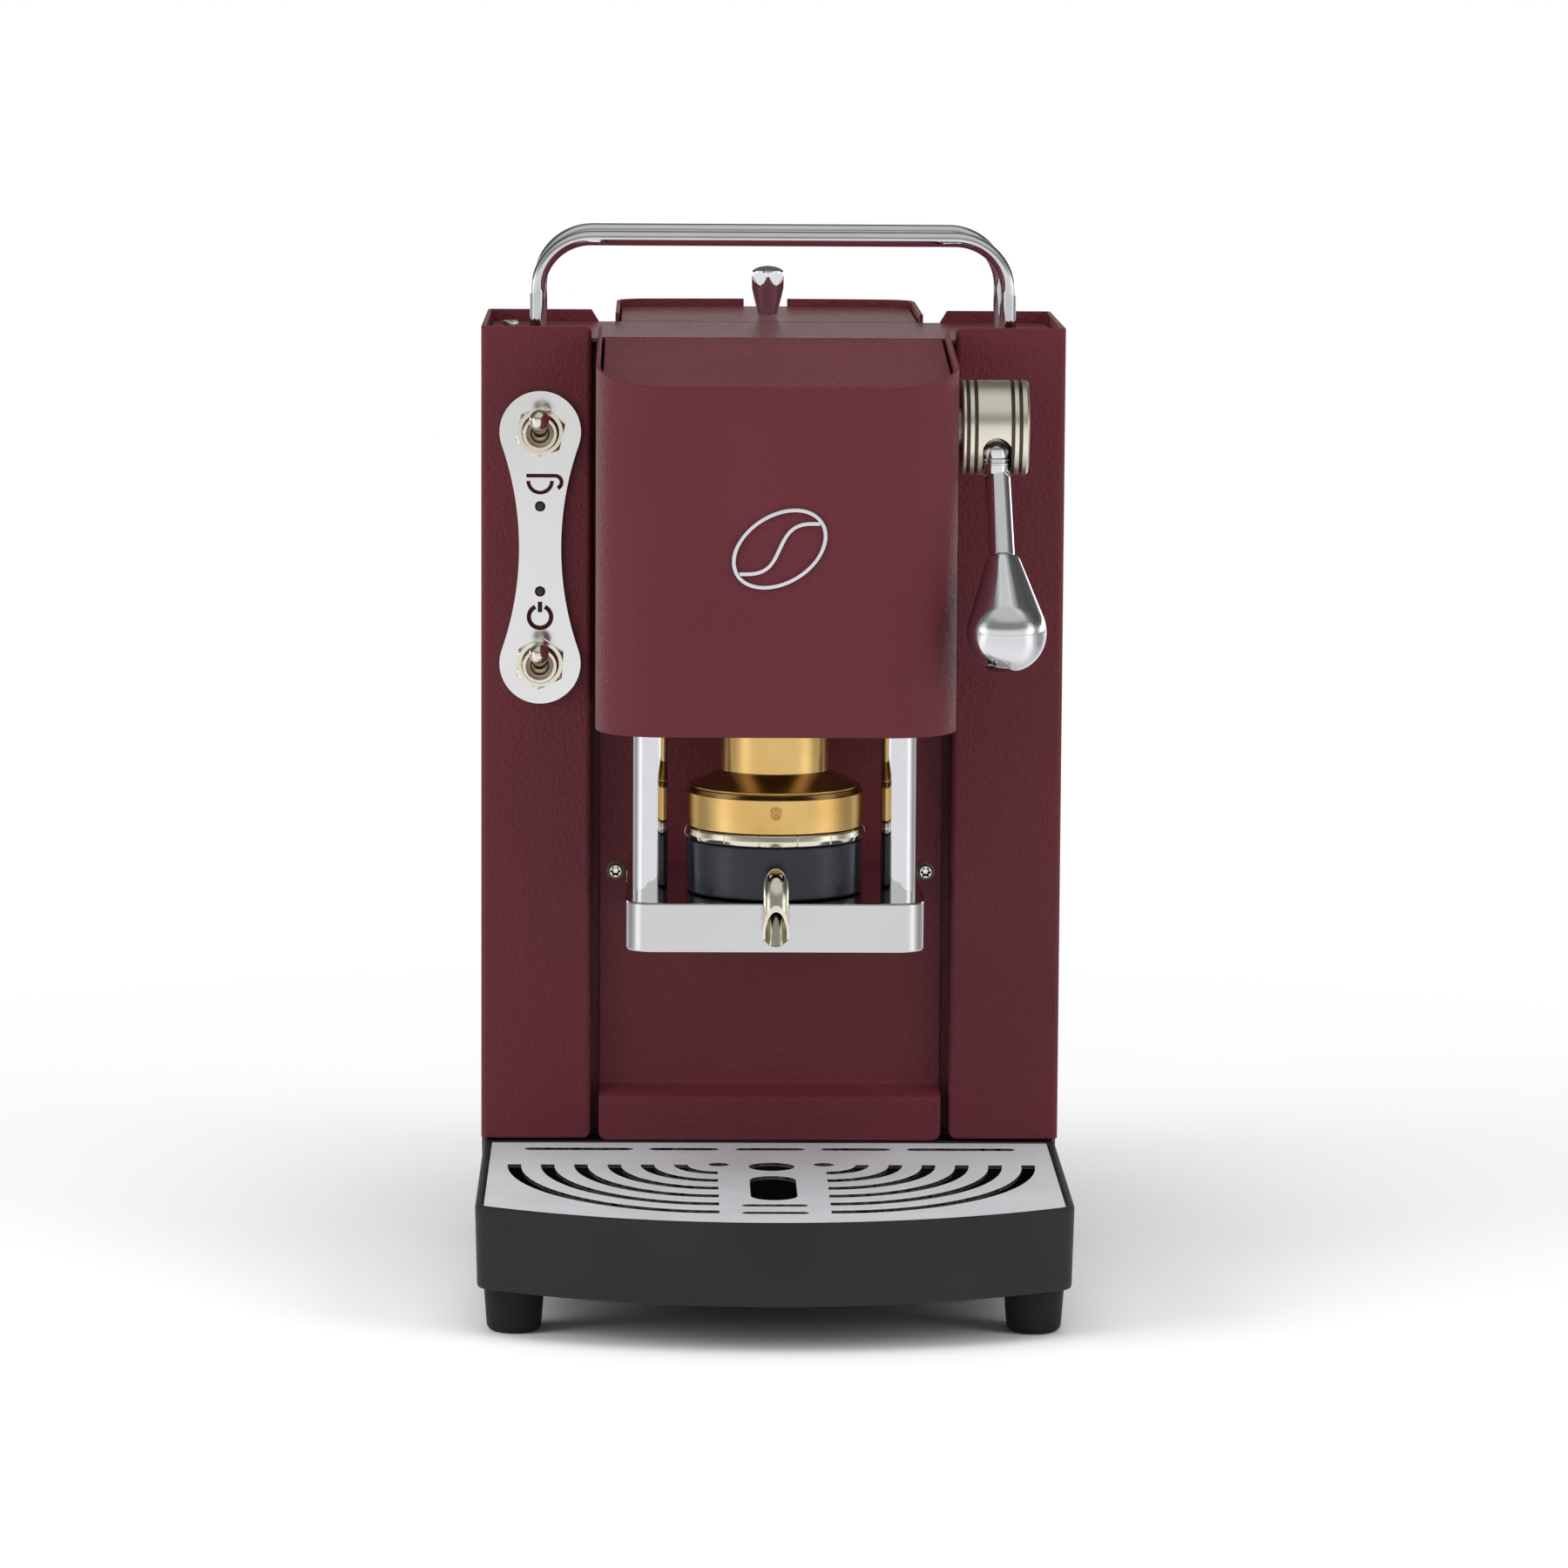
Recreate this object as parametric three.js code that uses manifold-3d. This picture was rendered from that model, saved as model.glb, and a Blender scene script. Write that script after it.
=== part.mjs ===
// A lever espresso machine for paper pods, as an assembly of its separate pieces.
// Millimetres. x runs to the viewer's right, z runs up, and the front looks along -y.
// Every y in this file is counted from the front face of the side columns, positive to the
// back. The last lines move the whole machine so that its origin is under its middle.
import * as THREE from 'three';
import { mergeVertices } from 'three/addons/utils/BufferGeometryUtils.js';
import Module from 'manifold-3d';

const wasm = await Module();
wasm.setup();

// Clearances and sheet
const sheet = 1.2; // painted steel of every folded panel
const seam = 0.3; // gap between pieces that touch
const overrun = 3; // how far a cutter reaches past the face it cuts
const bendRadius = 1.8; // outside of a fold

// Body
const bodyWidth = 190;
const bodyDepth = 91; // front of the columns to their back walls
const bodyTop = 310;
const flangeBottom = 42.6; // lower edge of the column fronts
const columnWidth = 36; // each column's front
const columnReturn = 6.5; // hem that turns back from a column front
const columnBackWidth = 40.8; // each column's back wall
const wallCornerRadius = 4; // rounded upper corners of the column walls
const footHeight = 14.8;
const topPlateDrop = 4; // top plate below the column tops

// Centre plate
const plateSetback = 8; // recess behind the column fronts
const centrePlateGap = 2.7; // to each column
const bendHigh = 59.8; // where the plate starts to come forward
const bendLow = 56.3; // where it is level with the column fronts
const lipBottom = 42.1;
const lipCornerRadius = 2.5;

// Tank housing, lid and tank
const rearGap = 2.2; // tank housing to each column's back wall
const rearDepth = 177.5;
const rearCornerRadius = 12;
const rearBowRadius = 452;
const rearRimDrop = 1.3; // below the column tops
const rearLap = 7.8; // how far its flanges reach behind the column back walls
const notchWidth = 15.2;
const lidGap = 0.6;
const tankGap = 1; // tank to housing
const tankWall = 2;
const tankFloor = 2.5;
const tankFront = 1.4; // tank behind the column back walls
const spigotRadius = 4;
const spigotBore = 2.2;
const spigotLength = 8;
const spigotInset = 18; // from the housing's side
const spigotHeight = 17; // above the tank's underside

// Drip tray and grid
const trayInset = 0.8; // narrower than the body on each side
const trayFront = 139; // most forward point of the bowed front
const trayCornerRadius = 7;
const trayBowRadius = 173;
const trayTop = 41.7;
const trayTuck = 12; // how far the tray reaches under the columns
const trayWall = 2.5;
const trayFloor = 2;
const trayLedge = 2; // ledge that carries the grid
const trayShelf = 12.3; // closed part of the tray that stays under the columns
const gridDrop = 0.5; // grid below the rim
const gridSheet = 1.2;
const slotWidth = 4.4;
const slotDepthWidth = 5.2; // the same slots measured front to back
const slotRise = 38.3; // where the curved slots begin, in front of the columns
const slotEndX = 17.5; // half the gap between the left and right curved slots
const slotMargin = 11; // outermost curved slot to the tray's side
const slotOuterFront = 117.1; // the same slot at its front end
const slotInnerX = 29.4; // innermost curved slot at its back end
const slotPitchFront = 12.94;
const curvedSlots = 6;
const rowSlotDepth = 11.4; // back row of straight slots
const rowSlotWidth = 5;
const rowSlotHalf = 11.4;
const rowSlotPitch = 28.2;
const rowSlotEndHalf = 17.8; // the outer two are longer
const rowSlotEndMargin = 31.6; // their middles to the tray's side
const frontSlotFrom = 106.6; // two short slots in front of the long hole
const frontSlotPitch = 12;
const frontSlotHalf = 10.5;
const frontSlotWidth = 4;
const drainRadius = 7.4; // round hole
const drainY = 42;
const longHoleFrom = 57.5;
const longHoleTo = 98.5;
const smallHoleX = 17;
const smallHoleRadius = 3.3;

// Feet
const footRadius = 9.6;
const footBottomRadius = 8.5;
const footRound = 2.2;
const footInset = 13; // from the body's side
const frontFootY = 24;
const rearFootInset = 14; // from the housing's side
const rearFootY = 160;
const trayFootY = -100;

// Group cover and the sloped panel in it
const coverGap = 2; // to each column
const coverFront = 95;
const coverCornerRadius = 22;
const coverBottom = 187.5;
const coverTopBack = 309.7;
const coverTopShoulder = 302.6; // where the rounded corner begins
const coverTopFront = 297.5;
const coverEdgeDip = 300.4; // guides the curve between the last two
const panelGap = 1;
const panelBackTop = 305.9;
const panelFrontTop = 296.8;

// Brew group, all on one upright axis
const groupY = -58;
const tableGap = 11.8; // to each column
const tableFront = 88;
const tableCornerRadius = 9;
const tableBottom = 118.4;
const tableTop = 134.1;
const tableFlangeReach = 7.8; // flange beyond the arm on each side
const tableFlangeThick = 4;
const tableFlangeLip = 5; // flange above and below the arm
const guideInset = 7.6; // from the arm's side
const columnRadius = 5.5;
const columnSocket = 8;
const columnTop = 262;
const cupRadius = 28.2;
const cupHeight = 16.8;
const podRadius = 23.5;
const podDepth = 9.1;
const rimInner = 24;
const rimOuter = 28.9;
const rimHeight = 3.9;
const ringRadius = 28.5;
const ringHeight = 12.1;
const ringChamfer = 1.4;
const pinRadius = 2.15;
const pinDepth = 1.5;
const pinHeight = 6.65; // above the ring's lower face
const flareRadius = 22.8; // where the group passes through the ring
const flareEdgeRadius = 27.2;
const flareEdge = 0.5;
const neckRadius = 17.2;
const coneHeight = 4.6;
const neckTop = 233.7;
const spigotTop = 240;
const neckSpigotRadius = 8;
const screenRadius = 21.5;
const screenThick = 1;
const spoutRadius = 4.2;
const spoutWall = 1.2;
const spoutHeight = 8.1; // its axis above the arm
const spoutReach = 2.2; // straight part in front of the cup
const spoutBend = 8;
const spoutBendAngle = THREE.MathUtils.degToRad(75);
const spoutDrop = 13.8;
const spoutCutRise = 9.7; // where the slanted cut starts above the lower end
const spoutCutAngle = THREE.MathUtils.degToRad(69);

// Head bridge, crosshead and cam drive
const bridgeBottom = 200;
const bridgeThick = 10;
const bridgeFront = 80;
const cheekGap = 1.3; // to the inside of the cover
const cheekThick = 5;
const cheekHalf = 20;
const bossRadius = 13;
const shaftZ = 282.3;
const shaftRadius = 6;
const bushWall = 3;
const bushFlange = 2;
const bushFlangeThick = 1.7;
const crossBottom = 234;
const crossThick = 10;
const crossRadius = 20;
const eyeRadius = 8.6;
const armHalf = 7;
const padTop = 256.6;
const padHalf = 9;
const padFront = 18;
const padBack = 14;
const camHalf = 6;
const camNose = 3;
const pistonTravel = 13;
const leverTravel = THREE.MathUtils.degToRad(95);
const springRadius = 7.4;
const springWire = 0.8;
const springTurns = 4;
const heaterOuter = 22;
const heaterFrom = 4; // above the bridge
const heaterHeight = 16;
const heaterTab = 8;

// Lever
const hubRadius = 15;
const hubGap = 1.3; // to the side of the cover
const hubLength = 21.1;
const hubChamfer = 1.2;
const hubEndWall = 4.7;
const grooveDepth = 0.9;
const grooveWidth = 1.1;
const grooves = [1.35, 3.85, 15.4, 17.9]; // from the hub's inner face
const armInset = 10.6; // from the hub's inner face
const armRadius = 4.15;
const armBore = 4.6;
const armStart = 7;
const armNeck = 3.4;
const armNeckEnd = 12.4;
const armEnd = 44.7;
const armStud = 2.5;
const armStudLength = 8;
const shoulderRadius = 5.9; // upper end of the knob's cone
const shoulderRise = 1.6;
const ballRadius = 12.7;
const ballAt = 70;
const leverRest = THREE.MathUtils.degToRad(62); // below level, towards the front
const leverLean = THREE.MathUtils.degToRad(2.2); // outwards

// Control plate and toggle switches
const controlInset = 19.3; // from the body's side
const switchHigh = 275.75;
const switchLow = 200.15;
const controlEndRadius = 13.3;
const controlWaist = 6.9; // half width
const controlSheet = 1.2;
const lampHigh = 251.5;
const lampLow = 223.7;
const lampRadius = 1.45;
const bushingRadius = 5.7;
const bushingLength = 9; // in front of the control plate
const mouthRadius = 4.45;
const mouthDepth = 2;
const switchBoreRadius = 3.75;
const switchBore = 8.6;
const switchBodyWidth = 13;
const switchBodyHeight = 28;
const switchBodyDepth = 24;
const nutFlats = 15;
const nutThick = 2.5;
const nutTurn = THREE.MathUtils.degToRad(-7);
const batPivotDepth = 4.5; // inside the bushing's end
const batRoot = 3.4;
const batThin = 1.9;
const batThick = 2.5;
const batTip = 3.2;
const batLength = 19;
const batTilt = THREE.MathUtils.degToRad(17);

// Carrying bows, lid knob and small screws
const bowInset = 17.9; // from the body's side
const bowTop = 340;
const bowRadius = 2.45;
const bowBend = 17;
const bowFrontY = 20;
const bowBackY = 70;
const bowBelow = 9; // leg under the top plate
const knobY = 128;
const knobBase = 3.3;
const knobRim = 6.6;
const knobHeight = 15.2;
const knobDome = 1.5;
const knobFlats = 6.1;
const topScrewInset = 8.4;
const topScrewY = 59;
const topScrewRadius = 2.6;
const topScrewHead = 1.8;
const screwShank = 1.4;
const shankLength = 7;
const tableScrewOut = 3.8; // from the arm's side
const tableScrewZ = 130.65;
const tableScrewRadius = 2.5;
const tableScrewHead = 2.4;
const socketRadius = 1.25;

// Pump, hoses and mains inlet
const pumpY = 55;
const pumpRaise = 7; // cradle's height
const coilFrom = 14;
const coilLength = 50;
const coilWidth = 38;
const coilHeight = 40;
const inletRadius = 8;
const inletLength = 24;
const nippleRadius = 3;
const nippleLength = 10;
const outletRadius = 11;
const outletLength = 24;
const outletReach = 12; // from the coil to the upright nipple
const cradleWidth = 30;
const hoseRadius = 4;
const pipeRadius = 3;
const pipePortX = 28;
const pipeTurnHeight = 190;
const pipeCorner = 16;
const groupHoseRadius = 2.4;
const groupPortY = -14;
const groupPortX = 26;
const groupHoseTop = 250.5;
const inletInset = 19;
const inletZ = 62;
const inletPlateWidth = 30;
const inletPlateHeight = 24;
const inletPlateThick = 2.4;
const inletBodyWidth = 24;
const inletBodyHeight = 18;
const inletBodyDepth = 20;
const inletWall = 2;
const contactHalf = 1;
const contactLength = 12;
const contactPitch = 6;

// Round pieces: how many flats stand for a circle
const coarse = 12;
const medium = 20;
const fine = 30;

// Heights and edges that follow from the sizes above
const half = bodyWidth / 2;
const columnOpening = bodyWidth - 2 * columnWidth;
const backOpening = bodyWidth - 2 * columnBackWidth;
const centrePlateWidth = columnOpening - 2 * centrePlateGap;
const coverWidth = columnOpening - 2 * coverGap;
const tableWidth = columnOpening - 2 * tableGap;
const columnX = tableWidth / 2 - guideInset;
const rearWidth = backOpening - 2 * rearGap;
const trayWidth = bodyWidth - 2 * trayInset;
const footX = half - footInset;
const rearFootX = rearWidth / 2 - rearFootInset;
const bowX = half - bowInset;
const controlX = controlInset - half;
const topScrewX = topScrewInset - half;
const tableScrewX = tableWidth / 2 + tableScrewOut;
const spigotX = spigotInset - rearWidth / 2;
const inletX = inletInset - half;
const outletX = coilFrom + coilLength + outletReach;
const panBottom = footHeight + seam;
const panTop = panBottom + sheet;
const rearTop = bodyTop - rearRimDrop;
const topPlateTop = bodyTop - topPlateDrop;
const topPlateBottom = topPlateTop - sheet;
const ledgeTop = trayTop - gridDrop - gridSheet - seam;
const trayBack = trayTuck;
const panFront = trayBack + seam + sheet;
const cupBottom = tableTop + seam;
const cupTop = cupBottom + cupHeight;
const rimBottom = cupTop + seam;
const ringBottom = rimBottom + rimHeight + seam;
const ringTop = ringBottom + ringHeight;
const flareFoot = ringTop + seam;
const flareEdgeTop = flareFoot + flareEdge;
const bridgeTop = bridgeBottom + bridgeThick;
const crossTop = crossBottom + crossThick;
const coverInner = coverWidth / 2 - sheet;
const cheekInner = coverInner - cheekGap - cheekThick;
const hubInner = coverWidth / 2 + hubGap;
const hubOuter = hubInner + hubLength;
const armX = hubInner + armInset;
const slotOuterX = trayWidth / 2 - slotMargin;
const slotPitchX = (slotOuterX - slotInnerX) / (curvedSlots - 1);
const camLift = pistonTravel / leverTravel;
const camHigh = shaftZ - padTop - seam;
const camLow = camHigh - pistonTravel;
const pumpZ = panTop + seam + pumpRaise + seam + coilHeight / 2;

// Turning closed geometry into solids and back

function signedVolume(position, index) {
  const [a, b, c] = [0, 1, 2].map(() => new THREE.Vector3());
  let volume = 0;
  for (let i = 0; i < index.length; i += 3) {
    a.fromBufferAttribute(position, index[i]);
    b.fromBufferAttribute(position, index[i + 1]);
    c.fromBufferAttribute(position, index[i + 2]);
    volume += a.dot(b.cross(c));
  }
  return volume;
}

function toSolid(geometry) {
  geometry.deleteAttribute('normal');
  geometry.deleteAttribute('uv');
  const welded = mergeVertices(geometry);
  const triVerts = new Uint32Array(welded.index.array);
  if (signedVolume(welded.attributes.position, triVerts) < 0) {
    for (let i = 0; i < triVerts.length; i += 3) {
      [triVerts[i], triVerts[i + 1]] = [triVerts[i + 1], triVerts[i]];
    }
  }
  const vertProperties = welded.attributes.position.array;
  return new wasm.Manifold(new wasm.Mesh({ numProp: 3, vertProperties, triVerts }));
}

function fromSolid(solid) {
  const { vertProperties, triVerts } = solid.getMesh();
  const geometry = new THREE.BufferGeometry();
  geometry.setAttribute('position', new THREE.BufferAttribute(vertProperties, 3));
  geometry.setIndex(new THREE.BufferAttribute(triVerts, 1));
  geometry.computeVertexNormals();
  return geometry;
}

const join = (first, ...others) => others.reduce((sum, next) => sum.add(next), first);
const cut = (first, ...others) => others.reduce((rest, next) => rest.subtract(next), first);

// Outlines as lists of points

const flat = (x, y) => new THREE.Vector2(x, y);

function arc(centreX, centreY, radius, from, to, steps, radiusY = radius) {
  const points = [];
  for (let i = 0; i <= steps; i += 1) {
    const angle = from + (to - from) * (i / steps);
    points.push(flat(centreX + radius * Math.cos(angle), centreY + radiusY * Math.sin(angle)));
  }
  return points;
}

const circle = (x, y, radius, sides = coarse) =>
  arc(x, y, radius, 0, 2 * Math.PI, sides).slice(0, -1);

const slotAlongX = (x, y, halfLength, halfWidth) => [
  ...arc(x + halfLength - halfWidth, y, halfWidth, -Math.PI / 2, Math.PI / 2, 4),
  ...arc(x - halfLength + halfWidth, y, halfWidth, Math.PI / 2, 1.5 * Math.PI, 4),
];

// Corners are [x, y, radius]; the radius, where there is one, rounds that corner.
function rounded(corners, steps = 4) {
  return corners.flatMap(([x, y, radius = 0], i) => {
    const here = flat(x, y);
    if (radius === 0) return [here];
    const [px, py] = corners[(i + corners.length - 1) % corners.length];
    const [nx, ny] = corners[(i + 1) % corners.length];
    const back = flat(px, py).sub(here).normalize();
    const ahead = flat(nx, ny).sub(here).normalize();
    const halfAngle = Math.acos(back.dot(ahead)) / 2;
    const inward = back.clone().add(ahead).normalize();
    const centre = here.clone().addScaledVector(inward, radius / Math.sin(halfAngle));
    const start = here.clone().addScaledVector(back, radius / Math.tan(halfAngle)).sub(centre);
    const end = here.clone().addScaledVector(ahead, radius / Math.tan(halfAngle)).sub(centre);
    const sweep = Math.atan2(start.cross(end), start.dot(end));
    const from = Math.atan2(start.y, start.x);
    return arc(centre.x, centre.y, radius, from, from + sweep, steps);
  });
}

// A plan with two straight sides, a square end, and a bowed end with rounded corners.
function bowedPlan(halfWidth, tip, squareEnd, cornerRadius, bowRadius, inset, squareInset, steps) {
  const way = Math.sign(tip - squareEnd);
  const bowCentre = Math.abs(tip) - bowRadius;
  const cornerX = halfWidth - cornerRadius;
  const cornerY = bowCentre + Math.sqrt((bowRadius - cornerRadius) ** 2 - cornerX ** 2);
  const turn = Math.atan2(cornerY - bowCentre, cornerX);
  const side = halfWidth - inset;
  const end = squareEnd * way + squareInset;
  const right = arc(cornerX, cornerY, cornerRadius - inset, 0, turn, 4);
  const bow = arc(0, bowCentre, bowRadius - inset, turn, Math.PI - turn, steps).slice(1, -1);
  const left = right.map((p) => flat(-p.x, p.y)).reverse();
  const points = [flat(side, end), ...right, ...bow, ...left, flat(-side, end)];
  return points.map((p) => flat(p.x, p.y * way));
}

// Solids from outlines, along each axis, and turned pieces

function extrude(points, depth, holes = []) {
  const shape = new THREE.Shape(points);
  shape.holes = holes.map((hole) => new THREE.Path(hole));
  return new THREE.ExtrudeGeometry(shape, { depth, bevelEnabled: false, steps: 1 });
}

const prism = (points, from, to, holes) =>
  toSolid(extrude(points, to - from, holes).translate(0, 0, from));

const axisX = new THREE.Matrix4().makeBasis(
  new THREE.Vector3(0, 1, 0), new THREE.Vector3(0, 0, 1), new THREE.Vector3(1, 0, 0));
const axisY = new THREE.Matrix4().makeBasis(
  new THREE.Vector3(1, 0, 0), new THREE.Vector3(0, 0, 1), new THREE.Vector3(0, -1, 0));

const prismX = (points, from, to, holes) =>
  toSolid(extrude(points, to - from, holes).applyMatrix4(axisX).translate(from, 0, 0));
const prismY = (points, from, to, holes) =>
  toSolid(extrude(points, to - from, holes).applyMatrix4(axisY).translate(0, to, 0));

const block = (x0, x1, y0, y1, z0, z1) => toSolid(
  new THREE.BoxGeometry(x1 - x0, y1 - y0, z1 - z0)
    .translate((x0 + x1) / 2, (y0 + y1) / 2, (z0 + z1) / 2));

// Profile points are [radius, height]; the piece is turned about z and then placed.
function turnedGeometry(profile, sides) {
  const points = profile.map(([radius, height]) => flat(radius, height));
  return new THREE.LatheGeometry(points, sides).rotateX(Math.PI / 2);
}
const turned = (profile, sides, x = 0, y = 0, z = 0) =>
  toSolid(turnedGeometry(profile, sides).translate(x, y, z));
const turnedAlongX = (profile, sides, y = 0, z = 0) =>
  toSolid(turnedGeometry(profile, sides).rotateY(Math.PI / 2).translate(0, y, z));
const turnedAlongY = (profile, sides, x = 0, z = 0) =>
  toSolid(turnedGeometry(profile, sides).rotateX(-Math.PI / 2).translate(x, 0, z));

const rod = (radius, from, to) => [[0, from], [radius, from], [radius, to], [0, to]];
const sleeve = (inner, outer, from, to) =>
  [[inner, from], [outer, from], [outer, to], [inner, to], [inner, from]];

function tube(points, radius, sides, steps) {
  const curve = points.isCurve ? points
    : new THREE.CatmullRomCurve3(points.map((p) => new THREE.Vector3(...p)), false, 'centripetal');
  const shape = new THREE.Shape(circle(0, 0, radius, sides));
  return toSolid(new THREE.ExtrudeGeometry(shape, { extrudePath: curve, steps }));
}

// Finishes

const paint = () => ({ color: 0x69323c, roughness: 0.55, metalness: 0.1 });
const chrome = () => ({ color: 0xd4d6d8, roughness: 0.08, metalness: 1 });
const nickel = () => ({ color: 0xb8b2a5, roughness: 0.25, metalness: 1 });
const brass = () => ({ color: 0xc99a4e, roughness: 0.25, metalness: 1 });
const steel = () => ({ color: 0xb9bac0, roughness: 0.35, metalness: 1 });
const aluminium = () => ({ color: 0xc9c9c9, roughness: 0.3, metalness: 1 });
const blackPlastic = () => ({ color: 0x303032, roughness: 0.55, metalness: 0 });
const rubber = () => ({ color: 0x1c1c1e, roughness: 0.8, metalness: 0 });
const blackEnamel = () => ({ color: 0x2b2d35, roughness: 0.12, metalness: 0 });
const lens = () => ({ color: 0x1b1012, roughness: 0.2, metalness: 0 });
const clearPlastic = () => ({ color: 0xdde2e4, roughness: 0.2, metalness: 0 });
const silicone = () => ({ color: 0xd8d8d2, roughness: 0.5, metalness: 0 });

const machine = new THREE.Group();

function add(name, solid, look, parent = machine) {
  const mesh = new THREE.Mesh(fromSolid(solid), new THREE.MeshStandardMaterial(look));
  mesh.name = name;
  parent.add(mesh);
  return mesh;
}

// Side columns: one folded sheet each, open at the top, with a notch for the tray

function sideColumn(side) {
  const inner = columnOpening / 2;
  const back = backOpening / 2;
  const plan = rounded([
    [side * inner, 0, bendRadius],
    [side * half, 0, bendRadius],
    [side * half, bodyDepth, bendRadius],
    [side * back, bodyDepth],
    [side * back, bodyDepth - sheet],
    [side * (half - sheet), bodyDepth - sheet],
    [side * (half - sheet), sheet],
    [side * (inner + sheet), sheet],
    [side * (inner + sheet), columnReturn],
    [side * inner, columnReturn],
  ], 2);
  const innerCorner = (edge, radius) => rounded([
    [side * (edge - overrun), bodyTop - radius],
    [side * edge, bodyTop - radius],
    [side * edge, bodyTop, radius],
    [side * (edge + radius), bodyTop],
    [side * (edge + radius), bodyTop + overrun],
    [side * (edge - overrun), bodyTop + overrun],
  ]);
  const trayNotch = block(-half - overrun, half + overrun, -overrun, panFront - sheet,
    panBottom - overrun, flangeBottom);
  const hemRelief = block(-inner - sheet, inner + sheet, sheet, columnReturn + overrun,
    topPlateBottom - seam, bodyTop + overrun);
  const lowerCorner = rounded([
    [side * (inner - overrun), flangeBottom + lipCornerRadius],
    [side * inner, flangeBottom + lipCornerRadius],
    [side * inner, flangeBottom, lipCornerRadius],
    [side * (inner + lipCornerRadius), flangeBottom],
    [side * (inner + lipCornerRadius), flangeBottom - overrun],
    [side * (inner - overrun), flangeBottom - overrun],
  ]);
  let shell = cut(prism(plan, panBottom, bodyTop), trayNotch, hemRelief,
    prismY(lowerCorner, -overrun, columnReturn + overrun),
    prismY(innerCorner(inner, wallCornerRadius), -overrun, sheet),
    prismY(innerCorner(back, wallCornerRadius), bodyDepth - sheet - overrun, bodyDepth + overrun));
  if (side < 0) shell = cut(shell, ...switchHoles(), inletHole());
  return shell;
}

function switchHoles() {
  const through = (radius, z, sides) =>
    turnedAlongY(rod(radius, -overrun, columnReturn), sides, controlX, z);
  return [
    through(bushingRadius + seam, switchHigh, medium),
    through(bushingRadius + seam, switchLow, medium),
    through(lampRadius + seam, lampHigh, coarse),
    through(lampRadius + seam, lampLow, coarse),
  ];
}

function inletHole() {
  const x = inletBodyWidth / 2 + seam;
  const z = inletBodyHeight / 2 + seam;
  return block(inletX - x, inletX + x, bodyDepth - sheet - overrun, bodyDepth + overrun,
    inletZ - z, inletZ + z);
}

add('column_shell_left', sideColumn(-1), paint());
add('column_shell_right', sideColumn(1), paint());

// Centre plate: recessed, with a window for the arm and a lip that comes forward below

function centrePlate() {
  const front = plateSetback;
  const back = plateSetback + sheet;
  const profile = [
    flat(front, topPlateBottom - seam), flat(front, bendHigh), flat(0, bendLow),
    flat(0, lipBottom), flat(sheet, lipBottom), flat(sheet, bendLow - sheet),
    flat(back, bendHigh - sheet), flat(back, topPlateBottom - seam),
  ];
  const x = centrePlateWidth / 2;
  const windowX = tableWidth / 2 + seam;
  const window = block(-windowX, windowX, front - overrun, back + overrun,
    tableBottom - seam, tableTop + seam);
  const screwHole = (side) => turnedAlongY(
    rod(screwShank + seam, front - overrun, back + overrun), coarse, side * tableScrewX, tableScrewZ);
  const pipeHole = turnedAlongY(
    rod(pipeRadius + seam, front - overrun, back + overrun), coarse, pipePortX,
    bridgeBottom + bridgeThick / 2);
  const radius = lipCornerRadius;
  const outline = prismY(rounded([[x, lipBottom, radius], [x, bodyTop], [-x, bodyTop],
    [-x, lipBottom, radius]]), -overrun, back + overrun);
  return cut(prismX(profile, -x, x).intersect(outline), window, screwHole(-1), screwHole(1),
    pipeHole);
}

add('centre_plate', centrePlate(), paint());

// Top plate, with holes for the bows and for its screw

function topPlate() {
  const x = half - sheet - seam;
  const back = bodyDepth - sheet - seam;
  const holes = [-1, 1].flatMap((side) => [bowFrontY, bowBackY].map((y) =>
    circle(side * bowX, y, bowRadius + seam)));
  holes.push(circle(topScrewX, topScrewY, screwShank + seam, 8));
  const wing = coverWidth / 2 + seam;
  const front = sheet + seam;
  const plan = [flat(x, back), flat(-x, back), flat(-x, front), flat(-wing, front),
    flat(-wing, plateSetback), flat(wing, plateSetback), flat(wing, front), flat(x, front)];
  return prism(plan, topPlateBottom, topPlateTop, holes);
}

add('top_plate', topPlate(), paint());

// Tank housing: a narrower wrap behind the columns, with a notch in its back rim

const rearPlan = (inset, squareEnd) => bowedPlan(rearWidth / 2, rearDepth, squareEnd,
  rearCornerRadius, rearBowRadius, inset, 0, 8);
const rearStart = bodyDepth - sheet - seam - sheet;

function rearHousing() {
  const wrap = cut(prism(rearPlan(0, rearStart), panBottom, rearTop),
    prism(rearPlan(sheet, rearStart - overrun), panBottom - overrun, bodyTop + overrun));
  const outer = rearWidth / 2;
  const flange = (side) => {
    const tip = backOpening / 2 + rearLap;
    const [x0, x1] = [side * (outer - sheet / 2), side * tip].sort((a, b) => a - b);
    return block(x0, x1, rearStart, rearStart + sheet, panTop + seam, topPlateBottom - seam);
  };
  const topRelief = block(-half, half, rearStart - overrun, bodyDepth,
    topPlateBottom - seam, bodyTop + overrun);
  const notch = block(-notchWidth / 2, notchWidth / 2, rearDepth - rearCornerRadius,
    rearDepth + overrun, topPlateTop, bodyTop + overrun);
  return cut(join(wrap, flange(-1), flange(1)), topRelief, notch);
}

add('tank_housing', rearHousing(), paint());

// Floor pan with its front upstand

function floorPan() {
  const x = half - sheet - seam;
  const wide = block(-x, x, panFront, rearStart - seam, panBottom, panTop);
  const narrow = prism(rearPlan(sheet + seam, rearStart - seam - sheet), panBottom, panTop);
  const upstand = block(-x, x, panFront, panFront + sheet, panBottom, bendLow - sheet - seam);
  return join(wide, narrow, upstand);
}

add('floor_pan', floorPan(), steel());

// Feet: turned rubber, four under the body and two under the tray

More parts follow.
